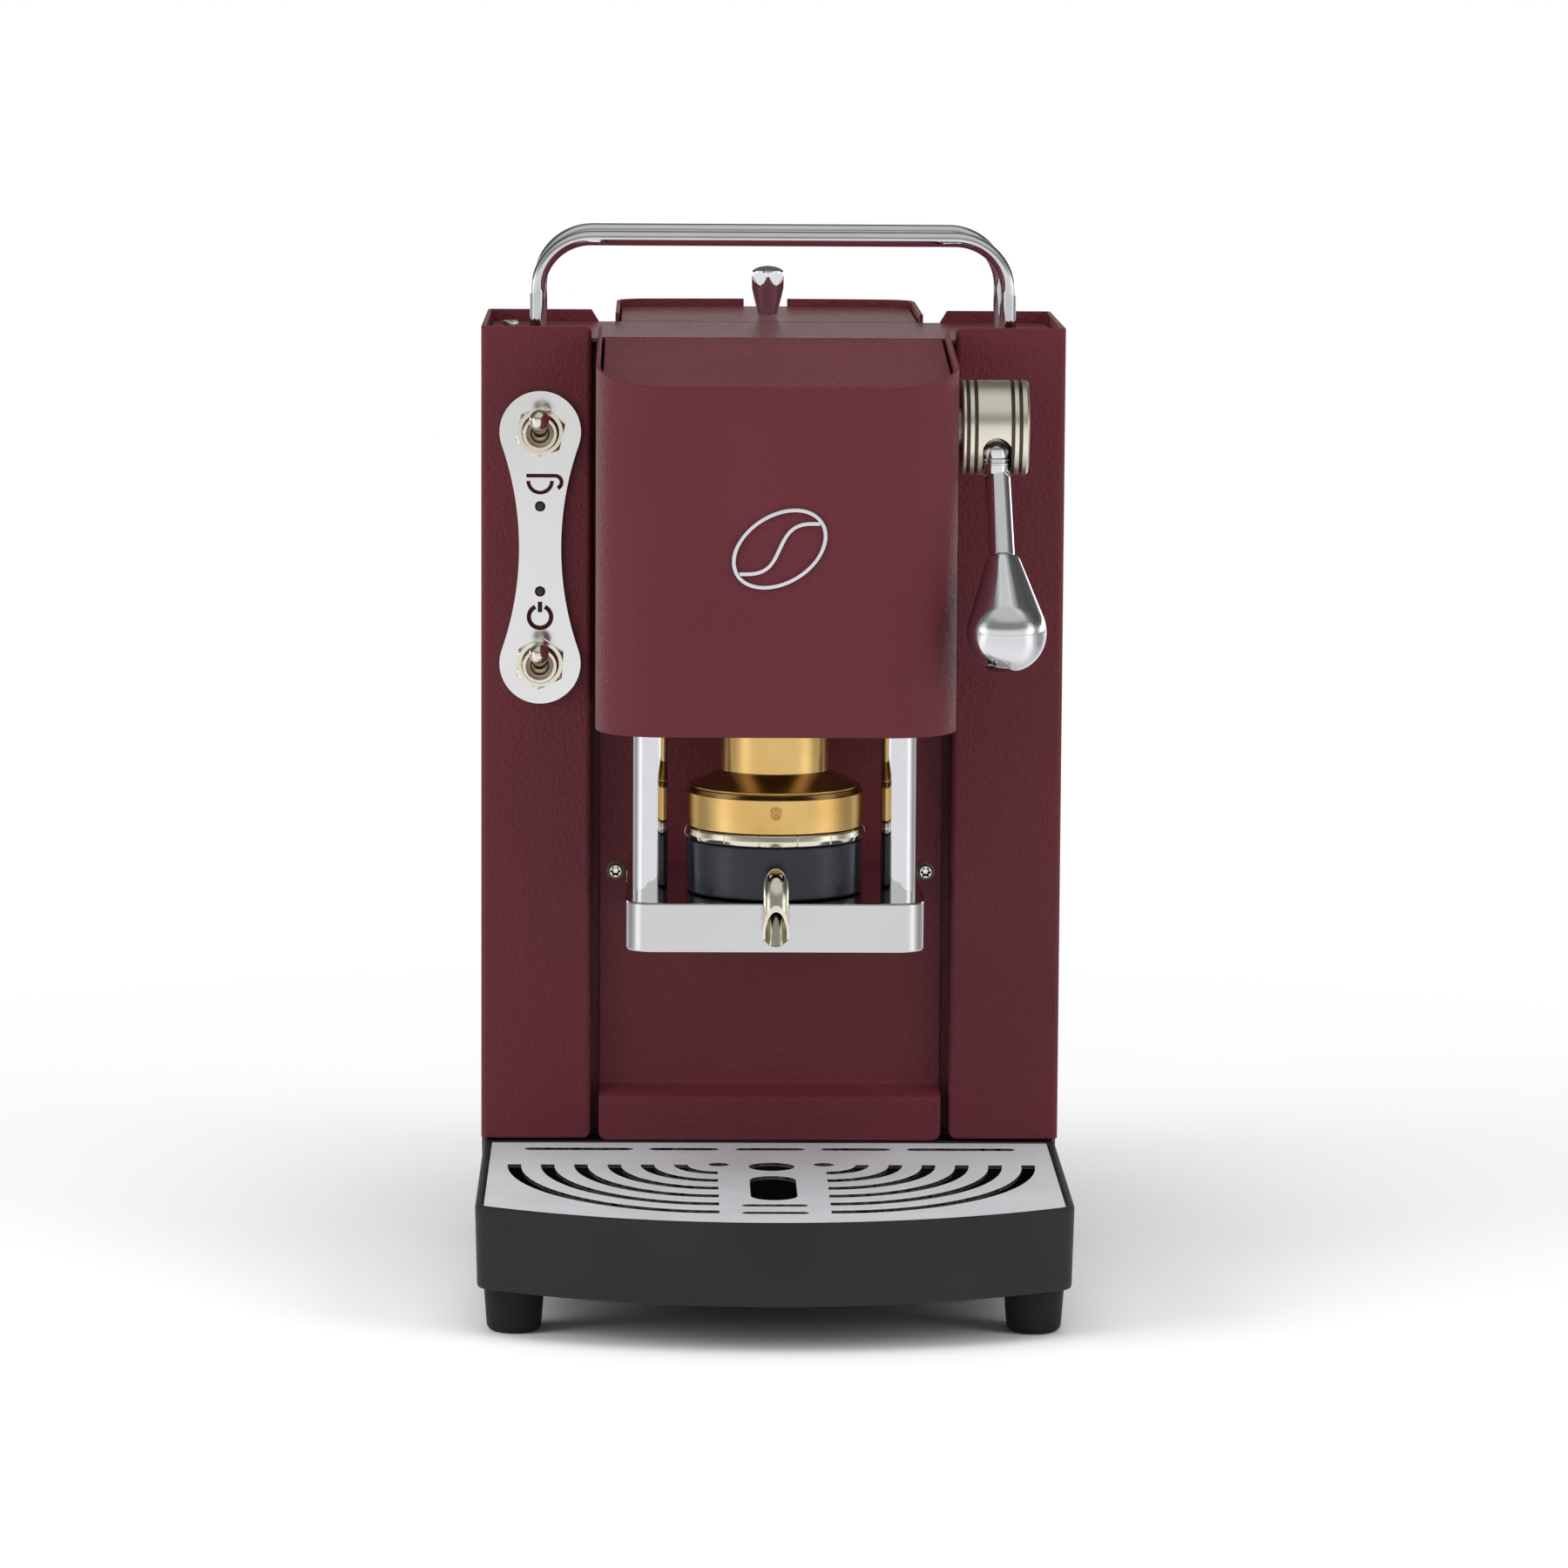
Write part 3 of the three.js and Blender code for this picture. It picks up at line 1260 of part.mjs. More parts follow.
const nippleTip = coilFrom - inletLength - nippleLength - seam;
const spigotTip = bodyDepth + tankFront - spigotLength - seam;
const spigotZ = panTop + seam + spigotHeight;
add('suction_hose', tube([
  [spigotX, spigotTip, spigotZ],
  [spigotX, spigotTip - 2 * hoseRadius, spigotZ],
  [nippleTip - 5.5 * hoseRadius, pumpY + 3 * hoseRadius, (spigotZ + pumpZ) / 2],
  [nippleTip - 5 * hoseRadius, pumpY + hoseRadius / 2, pumpZ],
  [nippleTip - 2 * hoseRadius, pumpY, pumpZ],
  [nippleTip, pumpY, pumpZ],
], hoseRadius, 8, 20), silicone());

const pipeZ = bridgeBottom + bridgeThick / 2;
const pipeStart = pumpZ + outletRadius + nippleLength + seam;
add('pressure_hose', tube([
  [outletX, pumpY, pipeStart],
  [outletX, pumpY, pipeStart + pipeCorner],
  [outletX, pumpY, (pipeStart + pipeTurnHeight) / 2],
  [outletX, pumpY, pipeTurnHeight - pipeCorner],
  [outletX - pipeCorner / 2, pumpY - pipeCorner / 3, pipeTurnHeight + pipeCorner / 2],
  [(outletX + pipePortX) / 2, (pumpY + plateSetback) / 2 + pipeCorner / 2, pipeZ],
  [pipePortX, plateSetback + pipeCorner, pipeZ],
  [pipePortX, plateSetback, pipeZ],
], pipeRadius, 8, 40), silicone());

const padBackY = groupY + padBack + seam;
add('group_hose', tube([
  [groupPortX, groupPortY, bridgeTop + seam],
  [groupPortX, groupPortY, bridgeTop + pipeCorner],
  [groupPortX * 0.8, groupPortY - pipeCorner / 4, groupHoseTop - pipeCorner / 2],
  [padHalf / 2, padBackY + pipeCorner / 2, groupHoseTop],
  [padHalf / 2, padBackY + pipeCorner / 4, groupHoseTop],
  [padHalf / 2, padBackY, groupHoseTop],
], groupHoseRadius, 8, 18), silicone());

function mainsInlet() {
  const plateX = inletPlateWidth / 2;
  const plateZ = inletPlateHeight / 2;
  const front = bodyDepth + seam;
  const plate = block(-plateX, plateX, front, front + inletPlateThick, -plateZ, plateZ);
  const bodyX = inletBodyWidth / 2;
  const bodyZ = inletBodyHeight / 2;
  const body = block(-bodyX, bodyX, front - inletBodyDepth, front + sheet, -bodyZ, bodyZ);
  const x = bodyX - inletWall;
  const z = bodyZ - inletWall;
  const recess = block(-x, x, front - inletBodyDepth + inletWall, front + inletPlateThick + overrun,
    -z, z);
  const root = front - inletBodyDepth + inletWall;
  const contact = (cx, cz) => block(cx - contactHalf, cx + contactHalf, root - inletWall / 2,
    root + contactLength, cz - 2 * contactHalf, cz + 2 * contactHalf);
  const shell = cut(join(plate, body), recess);
  return join(shell, contact(-contactPitch, -contactHalf), contact(0, 2 * contactHalf),
    contact(contactPitch, -contactHalf));
}

add('mains_inlet', mainsInlet(), blackPlastic()).position.set(inletX, 0, inletZ);

// The origin lies under the middle of the outline: from the tray's front to the housing's back
machine.position.y = (trayFront - rearDepth) / 2;

const espressoMachine = new THREE.Group();
espressoMachine.add(machine);

export default espressoMachine;
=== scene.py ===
# %% [markdown]
# # A lever espresso machine, dressed for its portrait
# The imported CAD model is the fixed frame. Each visible piece of it is made again here with
# smooth curves and rounded edges, in the place of its CAD solid, and every finish is a
# procedural material. Lengths are written in millimetres and turned to metres in one place.

import math

import bmesh
import bpy
import numpy as np
from mathutils import Matrix, Vector


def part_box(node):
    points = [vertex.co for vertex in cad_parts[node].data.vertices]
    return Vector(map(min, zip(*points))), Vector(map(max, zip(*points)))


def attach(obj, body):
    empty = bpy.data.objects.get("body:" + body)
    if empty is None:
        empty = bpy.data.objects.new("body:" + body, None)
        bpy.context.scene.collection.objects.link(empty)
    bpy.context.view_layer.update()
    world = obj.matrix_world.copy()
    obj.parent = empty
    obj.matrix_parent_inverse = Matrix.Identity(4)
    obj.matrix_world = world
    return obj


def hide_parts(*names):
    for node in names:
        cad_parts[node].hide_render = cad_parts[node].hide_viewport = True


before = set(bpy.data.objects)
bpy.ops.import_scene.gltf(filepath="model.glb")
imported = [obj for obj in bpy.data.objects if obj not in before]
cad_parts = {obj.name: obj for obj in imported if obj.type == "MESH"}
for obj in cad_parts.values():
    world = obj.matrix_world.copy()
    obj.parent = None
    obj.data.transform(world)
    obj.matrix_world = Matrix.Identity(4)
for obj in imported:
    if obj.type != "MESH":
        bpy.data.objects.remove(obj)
scene = bpy.context.scene
scene.view_settings.view_transform = "Standard"
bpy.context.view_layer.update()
print("frame loaded:", len(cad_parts), "nodes")

# %% [markdown]
# ## Coordinates
# The front faces of the two side columns are the natural zero for depths, because most
# pieces of a folded sheet body are set out from them. So y is counted from there, positive
# to the back, and one helper moves the finished points into the frame.

# %% Units, sides and the column front
MM = 0.001
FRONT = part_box("column_shell_left")[0].y / MM
SIDES = ((-1, "left"), (1, "right"))
QUARTER, HALF, FULL = math.pi / 2, math.pi, 2 * math.pi
print("column fronts lie at y =", round(FRONT, 2), "mm")


def to_frame(points):
    """Millimetre points, y counted from the column fronts, as frame points in metres."""
    return (np.asarray(points, float) + (0.0, FRONT, 0.0)) * MM


# %% [markdown]
# ## Outlines
# An outline is an array of points. Rounded corners are arcs tangent to both sides, and a
# pair of extra points close to each arc keeps smooth shading from leaking onto the flats.


# %% Arcs, rounded corners and bowed plans
def arc(cx, cy, radius, start, stop, steps):
    """Points on a circle: centre plus radius times the cosine and sine of evenly spaced angles."""
    angle = np.linspace(start, stop, steps + 1)
    return np.column_stack([cx + radius * np.cos(angle), cy + radius * np.sin(angle)])


def circle(cx, cy, radius, steps=48):
    """A closed ring of points at one radius, without the repeated last point."""
    return arc(cx, cy, radius, 0, FULL, steps)[:-1]


def rounded(corners, closed=True, steps=8, guard=0.5):
    """Corners (x, y, radius). The arc's centre lies on the bisector, radius / sin(half angle)
    out, and one more point stands at the guard's distance before and after each arc."""
    out = []
    count = len(corners)
    for i, (x, y, radius) in enumerate(corners):
        here = np.array([x, y], float)
        if radius == 0 or (not closed and i in (0, count - 1)):
            out.append(here[None, :])
            continue
        before, after = (np.array(corners[j % count][:2], float) - here for j in (i - 1, i + 1))
        before, after = before / np.linalg.norm(before), after / np.linalg.norm(after)
        half = math.acos(np.clip(before @ after, -1, 1)) / 2
        reach = radius / math.tan(half)
        middle = (before + after) / np.linalg.norm(before + after)
        centre = here + middle * radius / math.sin(half)
        a, b = here + before * reach - centre, here + after * reach - centre
        start = math.atan2(a[1], a[0])
        sweep = math.atan2(a[0] * b[1] - a[1] * b[0], a @ b)
        out += [(here + before * (reach + guard))[None, :],
                arc(*centre, radius, start, start + sweep, steps),
                (here + after * (reach + guard))[None, :]]
    return np.concatenate(out)


def bowed_plan(half_width, tip, square_end, corner, bow, inset=0.0, square_inset=0.0, steps=26):
    """Two straight sides, a square end, and a bowed end: a big arc that meets two corner arcs."""
    way = 1 if tip > square_end else -1
    bow_centre = abs(tip) - bow
    cx = half_width - corner
    cy = bow_centre + math.sqrt((bow - corner) ** 2 - cx**2)
    turn = math.atan2(cy - bow_centre, cx)
    side, end = half_width - inset, square_end * way + square_inset
    right = arc(cx, cy, corner - inset, 0, turn, 10)
    front = arc(0, bow_centre, bow - inset, turn, HALF - turn, steps)[1:-1]
    left = right[::-1] * (-1, 1)
    guard = np.array([[side, cy - 0.6]])
    points = np.concatenate([[[side, end]], guard, right, front, left, guard * (-1, 1), [[-side, end]]])
    return points * (1, way)


def with_points(path, after_start, before_end):
    """A path with more points after its first one and before its last one."""
    return np.concatenate([path[:1], after_start, path[1:-1], before_end, path[-1:]])


# %% [markdown]
# ## From arrays to meshes
# A piece is a grid of points: one direction runs along an outline or a path, the other
# round the section. The quads are index arithmetic on that grid, so no loop visits a vertex.
# Doubled points at poles are merged, the faces are turned outwards, and edges sharper than
# the steps of any curve are marked sharp.


# %% Mesh helpers
def shade(mesh, sharp=26):
    """Smooth shading that stops at edges steeper than this many degrees."""
    mesh.shade_smooth()
    mesh.set_sharp_from_angle(angle=math.radians(sharp))


def settle(name, mesh, body, finish, sharp=26, stands_for=None):
    """Cleans a new mesh, gives it its finish and hands it to the frame: the body that it rides
    on, and the CAD node that it replaces."""
    work = bmesh.new()
    work.from_mesh(mesh)
    bmesh.ops.remove_doubles(work, verts=work.verts, dist=1e-6)
    bmesh.ops.recalc_face_normals(work, faces=work.faces)
    work.to_mesh(mesh)
    work.free()
    shade(mesh, sharp)
    mesh.materials.clear()
    mesh.materials.append(finish)
    piece = bpy.data.objects.new(name, mesh)
    scene.collection.objects.link(piece)
    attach(piece, body)
    if stands_for:
        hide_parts(stands_for)
    print(f"{name}: {len(mesh.polygons)} faces")
    return piece


def grid_faces(rows, columns, wrap_rows=False, wrap_columns=False):
    """Quads between neighbours of a rows by columns grid, wrapping round where asked."""
    r = np.arange(rows if wrap_rows else rows - 1)
    c = np.arange(columns if wrap_columns else columns - 1)
    r, c = (a.ravel() for a in np.meshgrid(r, c, indexing="ij"))
    r2, c2 = (r + 1) % rows, (c + 1) % columns
    pairs = ((r, c), (r, c2), (r2, c2), (r2, c))
    return np.column_stack([row * columns + col for row, col in pairs]).tolist()


def skin(name, grid, faces, body, finish, **more):
    """A piece from a grid of millimetre points and the faces between them."""
    mesh = bpy.data.meshes.new(name)
    mesh.from_pydata(to_frame(grid.reshape(-1, 3)).tolist(), [], faces)
    return settle(name, mesh, body, finish, **more)


def loft(name, grid, body, finish, closed=False, **more):
    """Skins a grid (sections, points round the section, xyz); open ends get a flat cap."""
    sections, around = grid.shape[:2]
    faces = grid_faces(sections, around, wrap_rows=closed, wrap_columns=True)
    if not closed:
        faces += [list(range(around)), list(range((sections - 1) * around, sections * around))]
    return skin(name, grid, faces, body, finish, **more)


def face_values(mesh, what):
    """One vector for each face, such as its normal or its centre."""
    values = np.zeros(len(mesh.polygons) * 3)
    mesh.polygons.foreach_get(what, values)
    return values.reshape(-1, 3)


def second_finish(mesh, finish, where):
    """Gives the faces where the mask is true another finish than the piece's own."""
    mesh.materials.append(finish)
    mesh.polygons.foreach_set("material_index", where.astype(np.int32))


# %% Cut-outs
def carve(piece, cutter):
    """Takes the cutter's solid out of a piece with an exact boolean."""
    bite = piece.modifiers.new("bite", "BOOLEAN")
    bite.operation, bite.solver, bite.object = "DIFFERENCE", "EXACT", cutter
    depsgraph = bpy.context.evaluated_depsgraph_get()
    mesh = bpy.data.meshes.new_from_object(piece.evaluated_get(depsgraph))
    piece.modifiers.clear()
    piece.data = mesh
    bpy.data.objects.remove(cutter)
    shade(mesh)
    print(f"{piece.name} carved: {len(mesh.polygons)} faces")
    return mesh


# %% [markdown]
# ## Turned pieces
# Feet, rings, columns and knobs come off a lathe. A profile of (radius, height) points is
# swept round an axis: x and y are the radius times the cosine and sine of the angle. Fillets
# in the profile use the same rounded corners as the outlines.

# %% Lathe
AXIS = {  # rows: where the lathe's own x, y and z point
    "z": np.eye(3),
    "x": np.array([[0, 1, 0], [0, 0, 1], [1, 0, 0]], float),
    "-y": np.array([[1, 0, 0], [0, 0, 1], [0, -1, 0]], float),
}


def polar(radius, angle, height):
    """Points at radius * (cos, sin) of the angle and at a height: three arrays make one grid."""
    flat = radius * np.cos(angle), radius * np.sin(angle)
    return np.stack(np.broadcast_arrays(*flat, height), axis=-1)


def all_round(steps):
    """Evenly spaced angles of one turn."""
    return np.linspace(0, FULL, steps, endpoint=False)


def lathe(name, line, centre, body, finish, axis="z", steps=64, **more):
    """A closed turned piece: the profile starts and ends on the axis, or closes on itself."""
    line = np.asarray(line, float)
    ring = line[0, 0] > 0
    if ring and np.allclose(line[0], line[-1]):
        line = line[:-1]
    basis = AXIS[axis] if isinstance(axis, str) else axis
    grid = polar(line[:, 0], all_round(steps)[:, None], line[:, 1]) @ basis + centre
    faces = grid_faces(steps, len(line), wrap_rows=True, wrap_columns=ring)
    return skin(name, grid, faces, body, finish, **more)


def profile(*corners, closed=False, steps=5, guard=0.25):
    """A lathe profile from (radius, height, fillet) corners; without a third value they are square."""
    return rounded([c if len(c) == 3 else (*c, 0) for c in corners], closed, steps, guard)


# %% [markdown]
# ## Folded sheet
# The body is 1.2 mm steel, folded. Its plan is a path; the section carried along it is a
# thin rectangle with rounded edges whose lower and upper ends may change along the way.
# That one function makes the columns, the cover, the tank housing and the centre plate.

# %% Sheet walls
SHEET = 1.2


def sheet_wall(name, path, low, high, side, body, finish, thick=SHEET, edge=0.35, upright="z", **more):
    """Carries a rounded rectangle along a path: path + side * normal * depth, z = low..high."""
    path = np.asarray(path, float)
    low, high = (np.broadcast_to(np.asarray(level, float), len(path)) for level in (low, high))
    tangent = np.gradient(path, axis=0)
    for i in np.flatnonzero(np.linalg.norm(np.diff(path, axis=0), axis=1) < 1e-6):
        tangent[i:i + 2] = path[i + 2] - path[i - 1]  # a doubled point, where the height jumps
    tangent /= np.linalg.norm(tangent, axis=1, keepdims=True)
    normal = np.column_stack([-tangent[:, 1], tangent[:, 0]]) * side
    quarter = np.radians([0, 30, 60, 90])
    bend = np.column_stack([edge * (1 - np.cos(quarter)), -edge * (1 - np.sin(quarter))])
    below = -edge - 0.4
    upper = [(0, 1, below), *[(d, 1, h) for d, h in bend],
             *[(thick - d, 1, h) for d, h in bend[::-1]], (thick, 1, below)]
    depth, top, lift = np.array(upper + [(d, 0, -h) for d, _, h in upper[::-1]]).T
    rows = path[:, None, :] + normal[:, None, :] * depth[None, :, None]
    height = np.where(top > 0, high[:, None], low[:, None]) + lift

    def cap(i, inward):
        """One more, slightly smaller section just beyond an end, which rounds its edge."""
        inner = np.clip(depth, edge, thick - edge)
        row = path[i] + tangent[i] * inward + normal[i] * inner[:, None]
        return row[None], np.where(top > 0, high[i] - edge, low[i] + edge)[None]

    first, last = cap(0, -edge * 0.6), cap(-1, edge * 0.6)
    rows = np.concatenate([first[0], rows, last[0]])
    height = np.concatenate([first[1], height, last[1]])
    grid = np.concatenate([rows, height[..., None]], axis=-1)
    if upright == "x":
        grid = grid[..., [2, 0, 1]]
    return loft(name, grid, body, finish, **more)


# %% [markdown]
# ## Flat plates
# A plate with holes is what Blender's flat curves are good at: the curve fills the outline,
# leaves the holes open and rounds the edge. It is turned to a mesh before it gets its place.


# %% Flat plates
def plate(name, outline, holes, low, high, body, finish, edge=0.2, flat="z", reshape=None,
          wall_shade_finish=None, stands_for=None):
    """A flat outline with holes, thickened between two levels with a small rounded edge."""
    curve = bpy.data.curves.new(name, "CURVE")
    curve.dimensions, curve.fill_mode = "2D", "BOTH"
    curve.bevel_depth, curve.bevel_resolution = edge * MM, 1
    curve.extrude = ((high - low) / 2 - edge) * MM
    curve.offset = -edge * MM
    for ring in [outline, *holes]:
        spline = curve.splines.new("POLY")
        spline.points.add(len(ring) - 1)
        flat_points = np.column_stack([np.asarray(ring) * MM, np.zeros(len(ring)), np.ones(len(ring))])
        spline.points.foreach_set("co", flat_points.ravel())
        spline.use_cyclic_u = True
    maker = bpy.data.objects.new(name + "_curve", curve)
    scene.collection.objects.link(maker)
    bpy.context.view_layer.update()
    mesh = bpy.data.meshes.new_from_object(maker)
    bpy.data.objects.remove(maker)
    points = np.zeros(len(mesh.vertices) * 3)
    mesh.vertices.foreach_get("co", points)
    points = points.reshape(-1, 3) / MM + (0, 0, (low + high) / 2)
    if flat == "y":
        points = points[:, [0, 2, 1]]
    if reshape:
        points = reshape(points)
    mesh.vertices.foreach_set("co", to_frame(points).ravel())
    piece = settle(name, mesh, body, finish, sharp=20, stands_for=stands_for)
    # Upright faces of the cut get the second finish; on the grid it carries painted shade and painted
    # glints.
    if wall_shade_finish:
        second_finish(mesh, wall_shade_finish, np.abs(face_values(mesh, "normal")[:, 2]) < 0.35)
    return piece


# %% [markdown]
# ## Rods
# The bows and the spout are bent from round bar and tube. Their paths lie in a plane, so the
# section's two directions are the plane's normal and that normal crossed with the tangent.


# %% Rods and tubes
def rod_grid(path, radius, normal, steps=32):
    """Rings round a planar path: centre + radius * (cos * normal + sin * binormal)."""
    tangent = np.gradient(path, axis=0)
    tangent /= np.linalg.norm(tangent, axis=1, keepdims=True)
    side = np.cross(tangent, normal)
    angle = all_round(steps)[None, :, None]
    return path[:, None, :] + (np.cos(angle) * normal + np.sin(angle) * side[:, None, :]) * radius


# %% [markdown]
# ## Colours and nodes
# Colours are written as the sRGB hex values that a painter would match, and one function
# turns them to the linear values that the shader works in. One small function adds a node.
# A Map Range node takes its value, the range to read and the range to give, in that order.


# %% Colour and node helpers
def linear(hex_colour):
    """sRGB hex to linear RGBA: below 0.04045 divide by 12.92, above it ((c + 0.055) / 1.055) ** 2.4."""
    c = np.array([int(hex_colour[i:i + 2], 16) / 255 for i in (1, 3, 5)])
    c = np.where(c <= 0.04045, c / 12.92, ((c + 0.055) / 1.055) ** 2.4)
    return (*c.tolist(), 1.0)


def node(tree, kind, inputs=(), **settings):
    """Adds a node, sets its options, and sets or links its inputs, given in order or by name.
    Another node given as an input stands for its first output."""
    made = tree.nodes.new("ShaderNode" + kind)
    for key, value in settings.items():
        setattr(made, key, value)
    for key, value in inputs.items() if isinstance(inputs, dict) else enumerate(inputs):
        if isinstance(value, bpy.types.Node):
            value = value.outputs[0]
        if isinstance(value, bpy.types.NodeSocket):
            tree.links.new(value, made.inputs[key])
        else:
            made.inputs[key].default_value = value
    return made


def empty_material(name):
    """A new material with no nodes yet, and its tree."""
    material = bpy.data.materials.new(name)
    material.use_nodes = True
    material.node_tree.nodes.clear()
    return material, material.node_tree


def per_mm(size):
    """Texture scale at which one cell is about this many millimetres, in object metres."""
    return 1000.0 / size


def surface(name, dark, light, slow, rough, texture=None, **constants):
    """What every finish here shares, all on Object coordinates. A slow noise (cell in mm,
    detail, spread about a half) blends two close tones. A finer pattern sets the roughness
    (least, most, spread). texture(tree, place) gives that pattern and its reliefs, each as
    (height, strength, depth in metres) on top of the one before. Without it the slow noise
    is used again and the surface stays smooth."""
    material, tree = empty_material(name)
    place = node(tree, "TexCoord").outputs["Object"]
    cell, detail, spread = slow
    cloud = node(tree, "TexNoise", {"Vector": place, "Scale": per_mm(cell), "Detail": detail})
    blend = node(tree, "MapRange", (cloud, 0.5 - spread, 0.5 + spread))
    tone = node(tree, "Mix", {0: blend, 6: linear(dark), 7: linear(light)}, data_type="RGBA").outputs[2]
    pattern, *reliefs = texture(tree, place) if texture else (cloud,)
    least, most, spread = rough
    haze = node(tree, "MapRange", (pattern, 0.5 - spread, 0.5 + spread, least, most))
    sockets = {"Base Color": tone, "Roughness": haze, **constants}
    below = {}
    for height, strength, depth in reliefs:
        bump = node(tree, "Bump", {"Height": height, "Strength": strength, "Distance": depth, **below})
        below = {"Normal": bump}
    shader = node(tree, "BsdfPrincipled", {**sockets, **below})
    node(tree, "OutputMaterial", (shader,))
    return material


# %% [markdown]
# ## Painted steel
# The body is powder-coated sheet in burgundy. Baked powder flows into a fine, slightly
# pebbled skin, satin rather than gloss. Real pebbles are about half a millimetre across,
# too fine to show here, so they are drawn at 1.3 mm with a 0.7 mm grain on top. On level
# sheet the powder flows out further, so it is a little smoother there.


# %% Powder coat
def powder_coat(name, roughness, gloss):
    """Two tones of burgundy over 60 mm, and pebbles with a finer grain on them."""
    def pebbled(tree, place):
        """Pebbles that also vary the roughness, and the grain on top of them."""
        pebbles = node(tree, "TexNoise", {"Vector": place, "Scale": per_mm(1.3), "Detail": 2.0,
                                          "Roughness": 0.55})
        grain = node(tree, "TexVoronoi", {"Vector": place, "Scale": per_mm(0.7)}, feature="SMOOTH_F1")
        return pebbles, (pebbles, 0.8, 0.0005), (grain, 0.4, 0.00015)

    rough = (roughness - 0.05, roughness + 0.07, 0.2)
    return surface(name, "#59242c", "#5e262e", (60.0, 3.0, 0.15), rough, pebbled,
                   **{"Specular IOR Level": gloss})


body_paint = powder_coat("burgundy powder coat on steel sheet", 0.47, 0.22)
level_paint = powder_coat("burgundy powder coat that flowed out on level sheet", 0.4, 0.36)

# %% [markdown]
# ## Bright metals
# Chrome plate is the smoothest: a nearly perfect mirror with a trace of polishing haze.
# Turned nickel and brass keep the lathe's rings, and rolled stainless sheet has parallel
# lines. Both are a few hundredths of a millimetre wide on the real pieces and are drawn
# wider here, 0.12 and 0.25 mm, so that they still spread the reflections.


# %% Chrome, nickel, brass and steel
def bright_metal(name, light, dark, roughness, haze=0.03, patch=9.0):
    """Plated or polished metal: two close tones, and a roughness that wanders a little."""
    rough = (roughness, roughness + haze, 0.15)
    return surface(name, dark, light, (patch, 4.0, 0.2), rough, Metallic=1.0)


def turned_metal(name, light, dark, roughness, along, ring=0.12):
    """Metal with fine lathe rings: noise in one dimension, read along the turning axis."""
    def rings(tree, place):
        """Grooves that follow each other along the turning axis."""
        distance = node(tree, "SeparateXYZ", (place,)).outputs[along]
        grooves = node(tree, "TexNoise", {"W": distance, "Scale": per_mm(ring), "Detail": 3.0},
                       noise_dimensions="1D")
        return grooves, (grooves, 0.2, 0.00001)

    return surface(name, dark, light, (14.0, 3.0, 0.2), (roughness, roughness + 0.06, 0.2), rings,
                   Metallic=1.0, Anisotropic=0.35)


def brushed_sheet(name, light, dark, roughness, line=0.25, length=40):
    """Rolled sheet with brush lines: noise stretched along x to many times its width."""
    def lines(tree, place):
        """Long thin cells of noise, side by side."""
        scale = (per_mm(line * length), per_mm(line), per_mm(line))
        stretched = node(tree, "Mapping", {"Vector": place, "Scale": scale})
        brush = node(tree, "TexNoise", {"Vector": stretched, "Scale": 1.0, "Detail": 2.0})
        return brush, (brush, 0.2, 0.00003)

    return surface(name, dark, light, (25.0, 3.0, 0.2), (roughness, roughness + 0.12, 0.2), lines,
                   Metallic=0.3, Anisotropic=0.4)


X_AXIS, Z_AXIS = 0, 2
chrome = bright_metal("chrome plate on steel", "#dcdcdf", "#d5d5d9", 0.035, 0.02)
nickel = bright_metal("polished nickel plate", "#e4dece", "#dad3c2", 0.08, 0.05)
hub_nickel = turned_metal("turned nickel-plated hub", "#eee8db", "#e2dbcc", 0.27, X_AXIS)
# A dark nickel that is partly oil in the hub's grooves and partly painted shade: it also darkens the
# walls of the screw sockets and makes the discs of painted shadow round the arm screws.
oil_and_painted_shade = bright_metal("nickel darkened by oil and by painted shade in hollows", "#6e6250", "#4f4639", 0.45, 0.1)
brass = turned_metal("satin turned brass", "#dfbb7b", "#d2a962", 0.2, Z_AXIS)
pin_brass = bright_metal("reddish brass pin", "#dcae6c", "#cc9954", 0.22, 0.06)
stainless = brushed_sheet("laser-cut stainless sheet", "#e2e3e7", "#d8d9dd", 0.5)
# Dark cut walls with light patches: the dark tone is painted shade inside the grid's slots, and the
# light patches of the noise are painted glints.
painted_slot_shade_and_glints = bright_metal("laser-cut steel edge with painted shade and glints", "#8f8c80", "#24231f", 0.4, 0.2, 2.2)
plate_steel = bright_metal("polished steel plate", "#e2e1e1", "#dddcdc", 0.1, 0.02, 45.0)
screw_zinc = bright_metal("bright zinc-plated screw", "#ecece8", "#d9d9d4", 0.16, 0.06, 2.0)
zinc = bright_metal("zinc-plated steel", "#c9c8c4", "#b4b2ac", 0.28, 0.1)
black_zinc = bright_metal("black-passivated zinc plate", "#3b3a3c", "#2c2b2e", 0.45, 0.1)
polished_alloy = bright_metal("polished aluminium arm", "#d1d1d2", "#cccccd", 0.12, 0.02, 60.0)

# %% [markdown]
# ## Plastics, rubber and enamel
# The tray is moulded black ABS with a spark-eroded grain, about 0.1 mm on the tool and
# drawn at 0.6 mm. Feet are moulded rubber, quite matt. The pod cup is black enamel, smooth
# enough to carry soft reflections.


# %% Plastics and coatings
def moulded(name, dark, light, roughness, grain=0.6, depth=0.00006, gloss=0.5, clear=0.0):
    """Moulded plastic or rubber, or enamel: an eroded or flowed skin with the given grain."""
    def eroded(tree, place):
        """One noise at the size of the grain."""
        skin_grain = node(tree, "TexNoise", {"Vector": place, "Scale": per_mm(grain), "Detail": 2.0})
        return skin_grain, (skin_grain, 0.35, depth)

    return surface(name, dark, light, (30.0, 2.0, 0.15), (roughness, roughness + 0.12, 0.2), eroded,
                   **{"Specular IOR Level": gloss, "Transmission Weight": clear})


